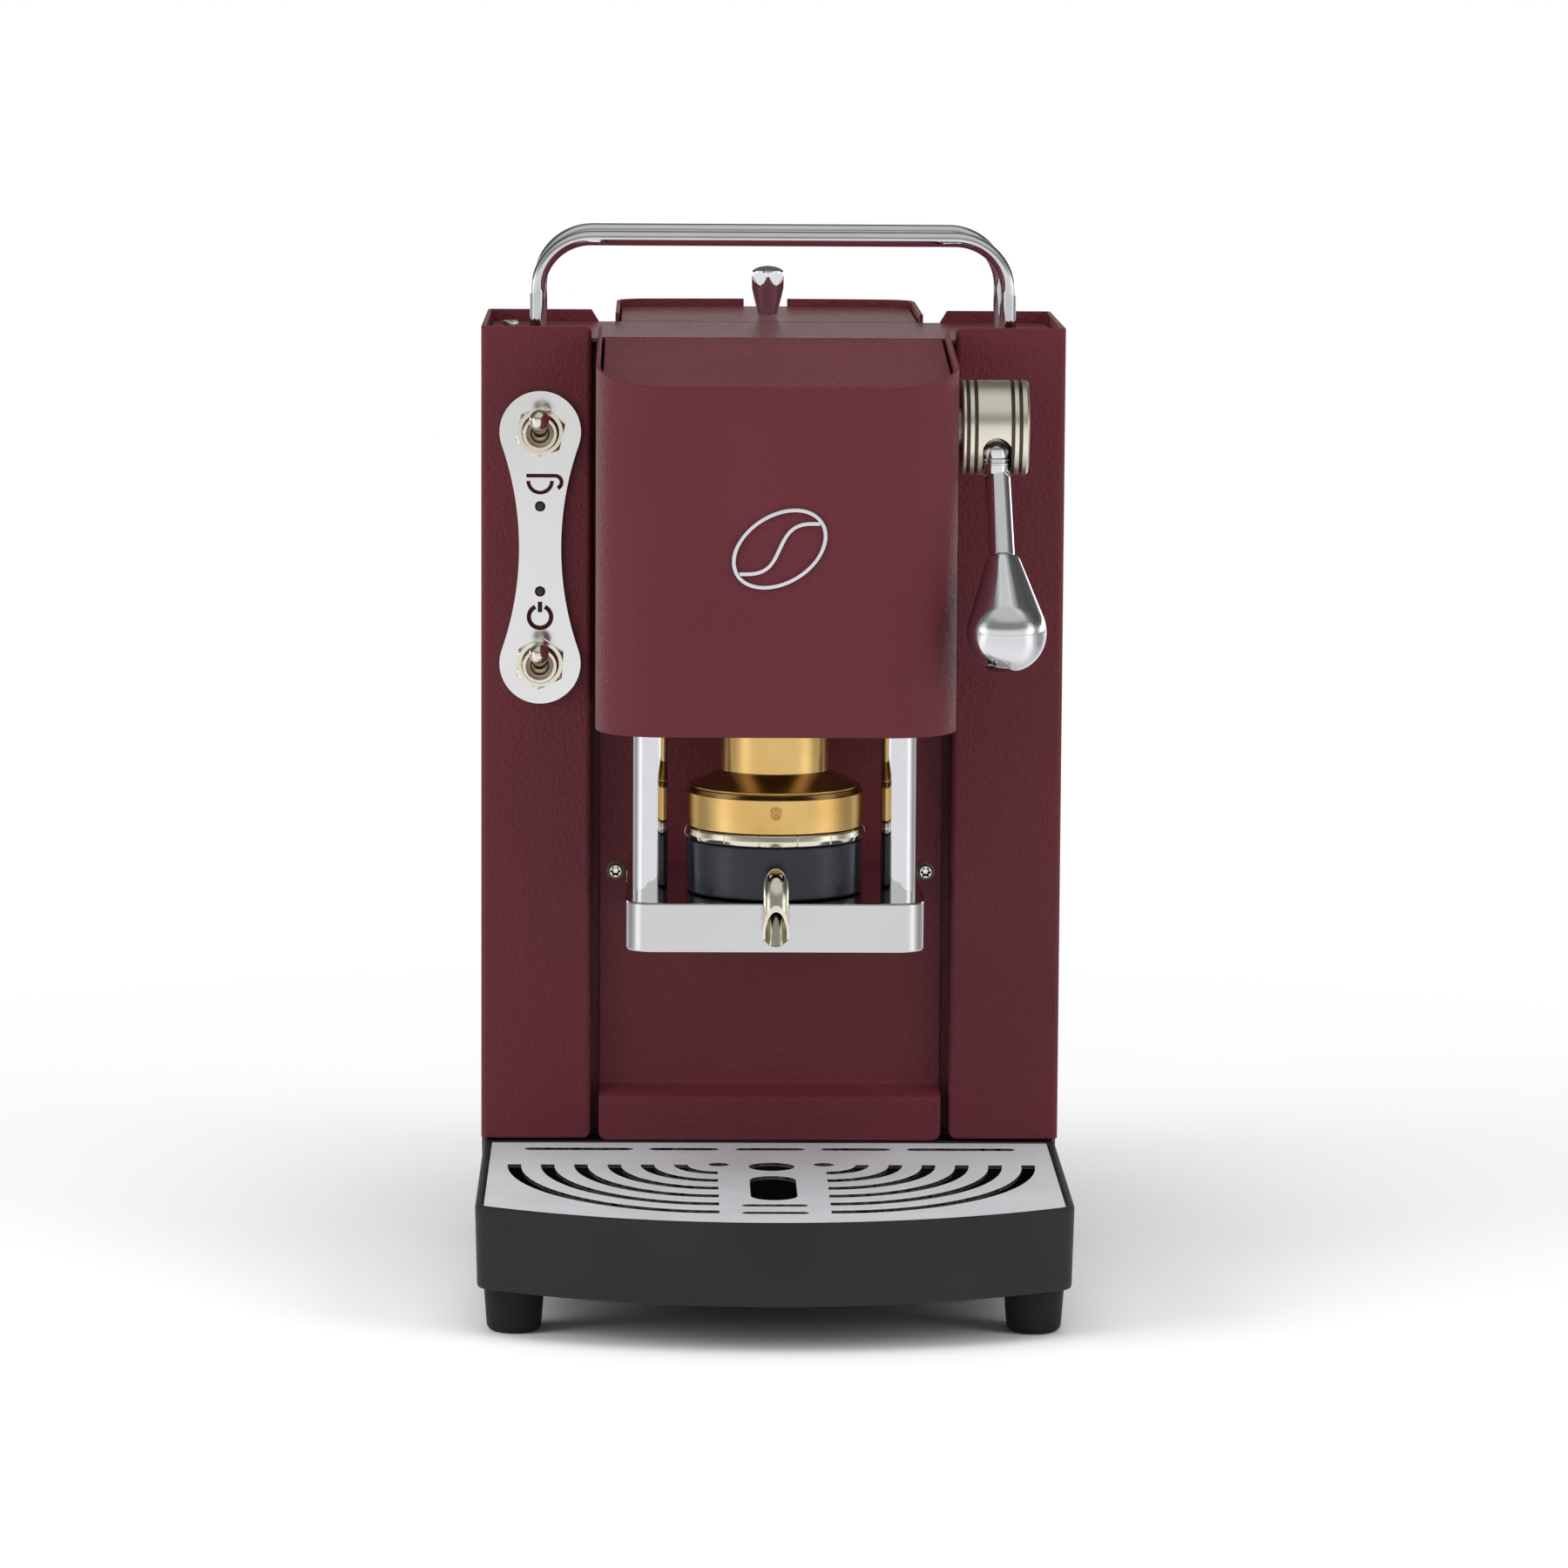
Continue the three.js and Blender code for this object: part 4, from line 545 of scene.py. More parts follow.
tray_plastic = moulded("moulded black ABS", "#222224", "#262628", 0.5, gloss=0.22)
foot_rubber = moulded("moulded black rubber", "#17171a", "#1d1d20", 0.6, 0.9, gloss=0.2)
inlet_plastic = moulded("moulded black nylon", "#1d1d1f", "#262628", 0.45)
pump_plastic = moulded("moulded glass-filled nylon", "#26262a", "#303034", 0.5)
enamel = moulded("black enamel", "#171a22", "#1e222c", 0.12, 6.0, 0.00003, gloss=0.38)
lens_plastic = moulded("smoked lens plastic", "#160c0e", "#22100f", 0.12, 3.0, 0.00001)
tan_fibre = moulded("fibre washer", "#a69685", "#b8a998", 0.5, 0.5)
silicone = moulded("silicone hose", "#cfcfc8", "#dcdcd6", 0.42, 1.2)
tank_plastic = moulded("milky moulded SAN", "#dfe4e6", "#e9edee", 0.25, 1.5, 0.00003, clear=0.35)

# %% [markdown]

# %% [markdown]
# ## Camera
# The photograph was taken with a long lens from about two metres, a little above the top
# of the machine and slightly to its left. The position and angles were worked out from the
# edges that recede, and the camera is not shifted.

# %% Camera
EYE = (-37.9, -2176.5, 448.7)
PITCH, YAW, ROLL = math.radians(7.542), math.radians(1.106), math.radians(0.335)
camera_data = bpy.data.cameras.new("camera")
camera_data.sensor_width, camera_data.lens, camera_data.clip_end = 36.0, 154.0, 200.0
camera = bpy.data.objects.new("camera", camera_data)
scene.collection.objects.link(camera)
camera.matrix_world = Matrix.Translation(to_frame(EYE))
for angle, axis in ((-YAW, "Z"), (QUARTER - PITCH, "X"), (ROLL, "Z")):
    camera.matrix_world = camera.matrix_world @ Matrix.Rotation(angle, 4, axis)
scene.camera = camera
print("camera at", [round(v, 3) for v in camera.location])

# %% [markdown]
# ## Side columns
# Each column is one folded sheet: a hem, the front, the side and the back wall. It is open
# inwards. The front stops above the drip tray, so the lower end of the section jumps down
# where the notch for the tray ends, at a doubled point of the path.

# %% Side columns
HALF_WIDTH, DEPTH = 95.0, 91.0  # of the body, to the back walls
BODY_TOP, BODY_FOOT = 310.0, 15.1
NOTCH_TOP, NOTCH_DEPTH = 42.6, 12.3  # room for the drip tray
BEND = 1.8  # outer radius of a fold
HEM_X = 59.0  # inner edge of a column's front
UNDER_TOP = 304.4  # where a wall stops below the top plate
LOW_ROUND, TOP_ROUND = 2.5, 2.2  # rounded inner corners of the front


def column(side, label):
    """Outer line of the plan from the hem to the back wall, with its lower and upper ends."""
    path = np.concatenate([
        [(HEM_X, 6.5), (HEM_X, 3.0)], arc(HEM_X + BEND, BEND, BEND, HALF, 1.5 * HALF, 8),
        [(x, 0.0) for x in (61.0, 61.2, 61.5, 61.8, 62.4, 92.5)],
        arc(HALF_WIDTH - BEND, BEND, BEND, -QUARTER, 0, 8),
        [(HALF_WIDTH, y) for y in (2.4, NOTCH_DEPTH, NOTCH_DEPTH, 40.0, 88.6)],
        arc(HALF_WIDTH - BEND, DEPTH - BEND, BEND, 0, QUARTER, 8),
        [(x, DEPTH) for x in (92.5, 60.0, 56.6, 56.2, 55.8, 55.4, 55.0, 54.7, 54.4, 54.25)]])
    x, y = path.T
    in_front = y < NOTCH_DEPTH
    notch_end = np.flatnonzero(y == NOTCH_DEPTH)[0]
    low = np.where(np.arange(len(path)) <= notch_end, NOTCH_TOP, BODY_FOOT)
    past = np.clip(HEM_X + LOW_ROUND - x, 0, LOW_ROUND - 0.05)
    corner = NOTCH_TOP + LOW_ROUND - np.sqrt(np.maximum(LOW_ROUND**2 - past**2, 0.1))
    low = np.where(in_front & (x < HEM_X + LOW_ROUND), corner, low)
    past = np.where(in_front, np.clip(HEM_X + TOP_ROUND - x, 0, TOP_ROUND - 0.05), 0)
    high = BODY_TOP - TOP_ROUND + np.sqrt(TOP_ROUND**2 - past**2)
    high = np.where((y > 1.4) & (x < HEM_X + 0.1), UNDER_TOP, high)
    return sheet_wall(f"column_{label}", path * (side, 1), low, high, side, "machine", body_paint,
                      stands_for=f"column_shell_{label}")


columns = [column(side, label) for side, label in SIDES]

# %% Opening for the mains inlet
x0, x1, z0, z1 = -88.15, -63.85, 52.85, 71.15
opening = np.array([(x0, z0), (x1, z0), (x1, z1), (x0, z1)])
block = np.stack([np.insert(opening, 1, y, axis=1) for y in (DEPTH - 2.5, DEPTH + 1.5)])
carve(columns[0], loft("inlet_cutter", block, "machine", body_paint))

# %% [markdown]
# ## Centre plate
# The plate between the columns is folded along its width, so here the path is its profile
# seen from the side, and the section runs across the machine. Behind the gaps at its sides
# a painted strip closes the view to the dark inside.

# %% Centre plate
PLATE_Y, PLATE_HALF, LIP = 8.0, 56.3, 44.6  # its depth, half its width, where its lip starts to round
fold = rounded([(PLATE_Y, UNDER_TOP, 0), (PLATE_Y, 59.8, BEND), (0.0, 56.3, BEND), (0.0, 44.9, 0)],
               closed=False, steps=6)
lip = np.column_stack([np.zeros(7), [LIP, 44.0, 43.4, 42.9, 42.5, 42.25, 42.12]])
fold = np.concatenate([fold, lip])
past = np.clip(LIP - fold[:, 1], 0, LOW_ROUND - 0.01)
half_width = PLATE_HALF - LOW_ROUND + np.sqrt(np.maximum(LOW_ROUND**2 - past**2, 0.02))
sheet_wall("centre_panel", fold, -half_width, half_width, 1, "machine", body_paint, upright="x",
           stands_for="centre_plate")
for side, label in SIDES:
    sheet_wall(f"gap_strip_{label}", [(side * x, 9.5) for x in (55.6, 58.0, 60.4)], 44.0, 304.0, side,
               "machine", body_paint, thick=1.0)

# %% [markdown]
# ## Group cover and the sloped panel in it
# The cover is the face of the machine: a wrap with generous front corners whose top edge
# sweeps down towards the front. The panel closes it from above and leaves a thin dark gap
# all round, which reads as quality in the photograph.

# %% Group cover
COVER_HALF, COVER_FRONT, COVER_BACK, COVER_FOOT = 57.0, -95.0, 7.4, 187.5
CORNER = 22.0  # radius of its front corners, and where the top edge starts to curve down
STRAIGHT_END = COVER_FRONT + CORNER
EDGE_BACK, EDGE_MIDDLE, EDGE_CURVE, EDGE_FRONT = 309.7, 302.6, 300.4, 297.5


def cover_top(y):
    """Top edge over y: a straight fall to the corner's start, then a quadratic curve to the front."""
    straight = EDGE_BACK + (y - 10.7) * (EDGE_BACK - EDGE_MIDDLE) / (10.7 - STRAIGHT_END)
    t = np.clip((STRAIGHT_END - y) / CORNER, 0, 1)
    curve = (1 - t) ** 2 * EDGE_MIDDLE + 2 * t * (1 - t) * EDGE_CURVE + t**2 * EDGE_FRONT
    return np.where(y > STRAIGHT_END, straight, curve)


def u_plan(half_width, front, radius):
    """Corners of a plan with two straight sides and two round corners in front."""
    return [(half_width, COVER_BACK, 0), (half_width, front, radius), (-half_width, front, radius),
            (-half_width, COVER_BACK, 0)]


wrap = rounded(u_plan(COVER_HALF, COVER_FRONT, CORNER), closed=False, steps=18)
wrap = with_points(wrap, [(COVER_HALF, y) for y in (-20, -50)], [(-COVER_HALF, y) for y in (-50, -20)])
sheet_wall("cover_wrap", wrap, COVER_FOOT, cover_top(wrap[:, 1]), -1, "machine", body_paint,
           stands_for="group_cover")


# %% Sloped panel
def lean(points):
    """The flat panel tilted down to the front: z rises with y along the slope."""
    back, front = 7.7, -93.5
    slope = (305.9 - 296.8) / (back - front)
    return points + np.outer((points[:, 1] - back) * slope, (0, 0, 1))


panel_outline = rounded(u_plan(54.8, -93.3, 19.8), steps=14)
plate("cover_panel", panel_outline, [], 304.7, 305.9, "machine", body_paint, reshape=lean,
      stands_for="sloped_panel")

# %% [markdown]
# ## Badge
# The cover carries a small chromed ornament: a plain coffee bean, drawn by its outline and its
# S-shaped crease. Both are bands of one width along a curve, cut from 0.8 mm sheet.


# %% Badge
def band(line, width):
    """A line thickened to both sides: each point moved by half the width along the normal."""
    along = np.gradient(np.asarray(line, float), axis=0)
    along /= np.linalg.norm(along, axis=1, keepdims=True)
    over = np.column_stack([-along[:, 1], along[:, 0]]) * width / 2
    return np.concatenate([line + over, (line - over)[::-1]])


def bean(centre, long_half, short_half, tilt, width):
    """An ellipse's outline in two halves and a sine crease between its ends, turned by the tilt."""
    t = np.linspace(-1, 1, 41)
    crease = np.column_stack([t * long_half * 0.96, np.sin(t * HALF) * short_half * 0.3])
    unit = circle(0, 0, 1, 96)
    rim = [unit * (long_half + d, short_half + d) for d in (width / 2, -width / 2)]
    c, s = math.cos(tilt), math.sin(tilt)
    spin = np.array([[c, s], [-s, c]])
    return [line @ spin + centre for line in (*rim, band(crease, width))]


ON_COVER = COVER_FRONT - 0.02  # the badge's back, just clear of the paint
rim_out, rim_in, crease = bean((0.5, 247.0), 15.5, 10.5, math.radians(32), 1.3)
plate("badge_bean_rim", rim_out, [rim_in], -95.9, ON_COVER, "machine", chrome, edge=0.25, flat="y")
plate("badge_bean_crease", crease, [], -95.8, ON_COVER, "machine", chrome, edge=0.25, flat="y")

# %% [markdown]
# ## Top plate, tank housing and lid
# Behind the cover the top is flat. The tank housing is a narrower wrap that stands behind
# the columns, bowed a little at the back, with a small notch in its rim for a hose. Its
# sides lap behind the back walls of the columns, lower than the rim.

# %% Top plate
TOP_LOW, TOP_HIGH = 304.8, 306.0
BOW_X, BOW_FRONT, BOW_BACK = 77.1, 20, 70  # where the legs of the bows stand
top_outline = [(93.4, 89.4), (-93.4, 89.4), (-93.4, 1.6), (-57.4, 1.6), (-57.4, 8.1), (57.4, 8.1),
               (57.4, 1.6), (93.4, 1.6)]
leg_holes = [circle(x, y, 2.75, 24) for x in (-BOW_X, BOW_X) for y in (BOW_FRONT, BOW_BACK)]
plate("top_panel", top_outline, leg_holes, TOP_LOW, TOP_HIGH, "machine", level_paint,
      stands_for="top_plate")

# %% Tank housing and lid
REAR = {"half_width": 52, "tip": 177.5, "corner": 12, "bow": 452}
NOTCH = 7.6  # half the width of the notch for the hose
RIM = 308.7
rear = bowed_plan(square_end=89.5, **REAR)
notch = np.flatnonzero(np.diff(np.abs(rear[:, 0]) < NOTCH)) + 1
notch_y = REAR["tip"] - REAR["bow"] + math.sqrt(REAR["bow"] ** 2 - NOTCH**2)
rear = np.insert(rear, notch.repeat(2), [(x, notch_y) for x in (NOTCH, NOTCH, -NOTCH, -NOTCH)], axis=0)
rim = np.full(len(rear), RIM)
rim[notch[0] + 1:notch[1] + 3] = TOP_HIGH
rim[[0, -1]] = UNDER_TOP
rear = with_points(rear, [(52, 91.2)] * 2, [(-52, 91.2)] * 2)
rim = with_points(rim, [UNDER_TOP, RIM], [RIM, UNDER_TOP])
sheet_wall("housing_wrap", rear, BODY_FOOT, rim, 1, "machine", body_paint, stands_for="tank_housing")
lid_outline = bowed_plan(square_end=91.3, inset=1.8, square_inset=0.1, **REAR)
plate("lid_panel", lid_outline, [], TOP_LOW, TOP_HIGH, "lid", level_paint, edge=0.3, stands_for="lid")

# %% [markdown]
# ## Lid knob
# The knob is a cone that opens upwards, with six flats milled across it. A flat cuts a cone
# in a curve, so each flat ends below in an arch. Taking the smaller of the cone's radius and
# the flat's distance over the cosine of the angle gives both at once.


# %% Lid knob
def from_flat(angle, turn=0.0):
    """Angle from the middle of the nearest of six flats."""
    return (angle - turn + math.pi / 6) % (math.pi / 3) - math.pi / 6


def faceted_knob(centre_y=128, flat=5.5):
    """Rings whose radius is the lesser of cone(z) and flat / cos(angle from the flat's middle)."""
    angle = all_round(96)
    z = np.concatenate([np.linspace(306.3, 319.6, 24), [320.4, 320.9, 321.3]])
    cone = np.concatenate([np.linspace(3.3, 6.5, 24), [6.5, 6.2, 5.6]])
    radius = np.minimum(cone[:, None], flat / np.cos(from_flat(angle)))
    crown = np.array([(4.4, 322.0), (3.0, 322.55), (1.4, 322.85), (0.02, 322.95)])
    grid = np.concatenate([polar(radius, angle, z[:, None]), polar(crown[:, :1], angle, crown[:, 1:])])
    return loft("knob_of_lid", grid + (0, centre_y, 0), "lid", chrome, sharp=22, stands_for="lid_knob")


faceted_knob()

# %% [markdown]
# ## Carrying bows
# Two chromed bars with a bend at each end. They stand in holes of the top plate.


# %% Bows
def bow(label, y, radius=2.45, bend=17.5, foot=297.0, top=340.0):
    """A bar whose centre line is a leg, a quarter circle, a span, a quarter circle and a leg."""
    span = top - radius
    line = rounded([(-BOW_X, foot, 0), (-BOW_X, span, bend), (BOW_X, span, bend), (BOW_X, foot, 0)],
                   closed=False, steps=20, guard=1.0)
    grid = rod_grid(np.insert(line, 1, y, axis=1), radius, (0, 1, 0))
    return loft(f"bow_bar_{label}", grid, "machine", chrome, stands_for=f"bow_{label}")


bow("front", BOW_FRONT)
bow("back", BOW_BACK)

# %% [markdown]
# ## Drip tray
# The tray is one moulding: an outer wall with a little draft, a rounded rim, a ledge for the
# grid and a basin. The section is a list of (inset, height) pairs, and each point of it is
# the whole plan moved inwards by that inset. Behind, the rim is wide, as it stays under
# the columns.

# %% Drip tray
TRAY = {"half_width": 94.2, "tip": -139, "square_end": 12, "corner": 7, "bow": 173, "steps": 40}
BACK_RIM = 9.8  # how much wider the rim is behind
tray_section = [
    (9.0, 15.1), (2.0, 15.1), (1.5, 15.15), (1.0, 15.45), (0.75, 16.1), (0.7, 17.0), (0.1, 40.6),
    (0.15, 41.2), (0.45, 41.6), (0.95, 41.7), (1.6, 41.7), (2.1, 41.6), (2.4, 41.3), (2.5, 40.8),
    (2.5, 39.75), (2.55, 39.7), (4.45, 39.7), (4.5, 39.6), (4.7, 18.6), (4.95, 17.5),
    (5.6, 17.15), (6.4, 17.1)]
rings = []
for i, (inset, z) in enumerate(tray_section):
    behind = inset + BACK_RIM * (i > 10)
    plan = bowed_plan(inset=min(inset, 6.4), square_inset=behind, **TRAY)
    rings.append(np.insert(plan, 2, z, axis=1))
loft("tray_moulding", np.array(rings), "tray", tray_plastic, sharp=30, stands_for="drip_tray")

# %% [markdown]
# ## Drip grid
# The grid is laser-cut from one sheet. Its slots follow quarter ellipses round the place
# where the cup stands, with straight slots behind. Every slot is an outline of the same
# curve, and the curve's own filling and edge rounding make the sheet.


# %% Drip grid
def bar_slot(x, y, half_length, half_width):
    """A straight slot along x with round ends."""
    reach = half_length - half_width
    return np.concatenate([arc(x + reach, y, half_width, -QUARTER, QUARTER, 12),
                           arc(x - reach, y, half_width, QUARTER, 1.5 * HALF, 12)])


def curved_slot(side, i):
    """Between two quarter ellipses: centre + (a cos, b sin), out by half a slot and back in."""
    wide = np.array([83.2 - 17.5 - i * 10.76, 117.1 - 38.3 - i * 12.94])
    half = np.array([4.4, 5.2]) / 2
    unit = arc(0, 0, 1, 0, QUARTER, 29)
    loop = np.concatenate([unit * (wide + half), unit[::-1] * (wide - half)])
    return np.column_stack([side * (17.5 + loop[:, 0]), -38.3 - loop[:, 1]])


slots = [bar_slot(0, -11.4, 11.4, 2.5), bar_slot(0, -106.6, 10.5, 2.0), bar_slot(0, -118.6, 10.5, 2.0),
         circle(0, -42, 7.4)]
for side, _ in SIDES:
    slots += [bar_slot(side * 28.2, -11.4, 11.4, 2.5), bar_slot(side * 62.6, -11.4, 17.8, 2.5),
              circle(side * 17, -38.3, 3.3, 32)] + [curved_slot(side, i) for i in range(6)]
slots.append(bar_slot(0, 0, 20.5, 7.4)[:, ::-1] + (0, -78.0))
grid_outline = bowed_plan(inset=2.8, square_inset=12.6, **TRAY)
# The slots' upright walls get painted shade with painted glints.
plate("grid_sheet", grid_outline, slots, 40.0, 41.2, "grid", stainless, edge=0.12,
      wall_shade_finish=painted_slot_shade_and_glints, stands_for="drip_grid")

# %% [markdown]
# ## Feet
# Six moulded rubber feet, slightly tapered, rounded where they meet the worktop.

# %% Feet
foot_line = profile((0, 0), (8.5, 0, 2.4), (9.6, 14.8, 0.4), (0, 14.8))
for place_name, x, y, body in (("foot_front", 82, 24, "machine"), ("foot_rear", 38, 160, "machine"),
                               ("tray_foot", 82, -100, "tray")):
    for side, label in SIDES:
        lathe(f"{place_name}_{label}_rubber", foot_line, (side * x, y, 0), body, foot_rubber,
              stands_for=f"{place_name}_{label}")

# %% [markdown]
# ## Brew group
# From the arm upwards: the enamelled cup, a bright ring cut into segments, the brass ring
# with its locating pin, and the brass flare and neck that rise into the cover.

# %% Cup and segmented ring
GROUP_Y = -58
AXIS_LINE = (0, GROUP_Y, 0)
cup_line = profile((0, 134.4), (28.0, 134.4, 0.8), (28.2, 151.2, 0.6), (23.5, 151.2, 0.5),
                   (23.5, 142.1, 0.8), (0, 142.1))
lathe("cup_enamel", cup_line, AXIS_LINE, "machine", enamel, steps=96, stands_for="pod_cup")


def segment_ring(count=15, first=-58.5, depth=0.45):
    """A rounded ring whose outer radius dips in a narrow notch between neighbouring segments."""
    section = profile((24.0, 151.5, 0.3), (28.2, 151.5, 0.7), (28.9, 153.2, 0.6), (28.4, 155.4, 0.8),
                      (24.0, 155.4, 0.3), closed=True)
    notch = math.radians(first) - QUARTER + np.arange(count) * FULL / count
    between = np.linspace(0.014, FULL / count - 0.014, 9)
    angle = (notch[:, None] + np.concatenate([[-0.006, 0.006], between])).reshape(-1, 1)
    dip = np.tile([depth] * 2 + [0.0] * 9, count)[:, None]
    radius = section[:, 0] - dip * (section[:, 0] > 26)
    grid = polar(radius, angle, section[:, 1]) + AXIS_LINE
    return loft("segment_ring", grid, "machine", nickel, closed=True, stands_for="cup_rim_ring")


segment_ring()

# %% Brass ring, neck and pin
ring_line = profile((23.1, 155.7, 0.2), (28.5, 155.7, 0.3), (28.5, 166.4, 0.25), (27.1, 167.8, 0.25),
                    (23.1, 167.8, 0.2), closed=True)
neck_line = profile((0, 156.0), (22.8, 156.0, 0.2), (22.8, 168.1, 0), (27.2, 168.1, 0.15),
                    (27.2, 168.6, 0.15), (17.2, 173.2, 0.4), (17.2, 233.7, 0.4), (8.0, 233.7, 0.3),
                    (8.0, 240.0, 0.4), (0, 240.0))
pin_line = profile((0, 27.0), (2.15, 27.0, 0.1), (2.15, 28.8, 0.15), (1.85, 29.0, 0.1),
                   (1.3, 29.0, 0.1), (1.15, 28.85, 0.1), (0.5, 28.85, 0.1), (0.4, 28.7, 0.1),
                   (0, 28.7))
lathe("brass_ring", ring_line, AXIS_LINE, "piston", brass, steps=144, stands_for="group_ring")
lathe("brass_neck", neck_line, AXIS_LINE, "piston", brass, steps=96, stands_for="group_body")
lathe("ring_pin", pin_line, (0, GROUP_Y, 162.35), "piston", pin_brass, axis="-y", steps=40)

# %% [markdown]
# ## Arm, columns and spout
# The arm is a thick polished slab with rounded front corners. Two chromed columns stand on
# it. The spout is a short tube that leaves the cup at the front, bends down and is cut off
# at a slant, so each line along it ends where it meets the cutting plane.

# %% Arm and columns
arm_corners = [(47.2, 14.0, 0), (47.2, -88.0, 9), (-47.2, -88.0, 9), (-47.2, 14.0, 0)]
plate("arm_slab", rounded(arm_corners, steps=16), [], 118.4, 134.1, "machine", polished_alloy, edge=0.6,
      stands_for="pod_arm")
rod_line = profile((0, 126.4), (5.7, 126.4, 0.3), (5.7, 262.0, 0.6), (0, 262.0))
for side, label in SIDES:
    lathe(f"guide_rod_{label}", rod_line, (side * 39.6, GROUP_Y, 0), "machine", chrome,
          stands_for=f"guide_column_{label}")

# %% Spout
SPOUT_FALL, SPOUT_SLANT = math.radians(75), math.radians(79.3)
SPOUT_OUT, SPOUT_IN = 4.2, 3.35  # radii


def downwards(angle):
    """Direction to the front and down, this far below level."""
    return np.array([0.0, -math.cos(angle), -math.sin(angle)])


def spout_tube():
    """Outer and inner rings along a planar path; the last ring of each lies in the slanted plane."""
    bend = arc(-88.4, 134.2, 8.0, QUARTER, QUARTER + SPOUT_FALL, 14)
    path = np.insert(np.concatenate([[(-82.0, 142.2), (-85.0, 142.2)], bend]), 0, 0.0, axis=1)
    down, slant = downwards(SPOUT_FALL), downwards(SPOUT_SLANT)[[0, 2, 1]]
    tip = np.array([0.0, -100.75, 135.2])
    grids = []
    for radius in (SPOUT_OUT, SPOUT_IN):
        rings = rod_grid(path, radius, (1, 0, 0), 96)
        start = rings[-1]
        reach = ((tip - start) @ slant) / (down @ slant)
        reach = np.clip(reach, 0.3, 14.0 - 2.0 * (start[:, 0] / SPOUT_OUT) ** 2)
        steps = np.linspace(0, 1, 9)[1:, None, None]
        grids.append(np.concatenate([rings, start + down * reach[:, None] * steps]))
    return loft("spout_tube", np.concatenate([grids[0], grids[1][::-1]]), "machine", nickel, sharp=30,
                stands_for="spout")


spout_tube()

# %% [markdown]
# ## Lever
# The hub is turned to look like an engine piston: grooves for rings at both ends and a bore
# for the arm in place of the gudgeon pin. The grooves are painted dark, partly for oil and partly
# as painted shade in the recess. The arm leaves the bore through a beaded boss and ends in a
# teardrop knob, a cone that runs into a ball.

# %% Hub
SHAFT_Z, HUB_START, HUB_END, HUB_RADIUS = 282.3, 58.3, 79.4, 15.0
hub_corners = [(0, HUB_START, 0), (14.7, HUB_START, 0.3), (HUB_RADIUS, 58.9, 0.2)]
for x in HUB_START + np.array([1.35, 3.85, 15.4, 17.9]):
    end = x + 1.1
    hub_corners += [(HUB_RADIUS, x, 0.12), (14.1, x, 0), (14.1, end, 0), (HUB_RADIUS, end, 0.12)]
hub_corners += [(HUB_RADIUS, 78.8, 0.2), (14.4, HUB_END, 0.2), (0, HUB_END, 0)]
hub = lathe("hub_piston", profile(*hub_corners, steps=3, guard=0.1), (0, GROUP_Y, SHAFT_Z), "lever",
            hub_nickel, axis="x", steps=96, stands_for="lever_hub")

# %% Direction of the arm
ARM_ROOT = np.array([68.9, GROUP_Y, SHAFT_Z])
arm_way = downwards(math.radians(62)) + (math.sin(math.radians(2.2)), 0, 0)
arm_way /= np.linalg.norm(arm_way)
across = np.cross(arm_way, (1.0, 0, 0))
across /= np.linalg.norm(across)
ARM = np.array([np.cross(across, arm_way), across, arm_way])
UP = -across if across[2] < 0 else across

# %% Bore of the hub
slot_top = arc(0, 0, 1.0, 0, HALF, 24) * (4.6, 3.0) + (0, 9.0)
slot_line = np.concatenate([slot_top, arc(0, 0, 4.6, HALF, FULL, 24)])
drill = np.stack([ARM_ROOT + arm_way * t + slot_line[:, 1:] * UP + slot_line[:, :1] * (1.0, 0, 0)
                  for t in (1.0, 20.0)])
bored = carve(hub, loft("hub_drill", drill, "lever", hub_nickel))
centres = face_values(bored, "center") / MM - (0, FRONT + GROUP_Y, SHAFT_Z)
from_axis = np.hypot(centres[:, 1], centres[:, 2])
# The groove faces get the dark finish: partly oil, partly painted shade in the recess.
groove_oil_and_shade = (from_axis < 14.7) & (from_axis > 13.95) & (centres[:, 0] > 59.0) & (centres[:, 0] < 78.0)
bored.materials.clear()
bored.materials.append(hub_nickel)
second_finish(bored, oil_and_painted_shade, groove_oil_and_shade)
print("hub bored:", len(groove_oil_and_shade), "faces,", int(groove_oil_and_shade.sum()), "in the grooves")

# %% Arm and boss
stem = profile((0, 12.5), (4.15, 12.5, 0.3), (4.15, 44.7, 0.2), (2.5, 44.7, 0), (2.5, 52.7, 0),
               (0, 52.7), steps=3, guard=0.05)
lathe("lever_stem", stem, ARM_ROOT, "lever", chrome, axis=ARM, stands_for="lever_arm")
beads = profile((0, -6.8), (4.1, -6.8, 0.1), (4.15, -4.3, 0.1), (4.45, -4.1, 0.15), (4.45, -3.6, 0.15),
                (4.1, -3.4, 0.1), (4.1, -3.1, 0.1), (4.45, -2.9, 0.15), (4.45, -2.3, 0.15),
                (4.15, -2.1, 0), steps=3, guard=0.05)
boss_top = arc(0, 0, 4.5, -0.46, QUARTER, 24)
boss = np.concatenate([beads, boss_top[:-1], [(0, 4.5)]])
lathe("lever_boss", boss, ARM_ROOT + (0.2, -7.8, -6.9), "lever", chrome)

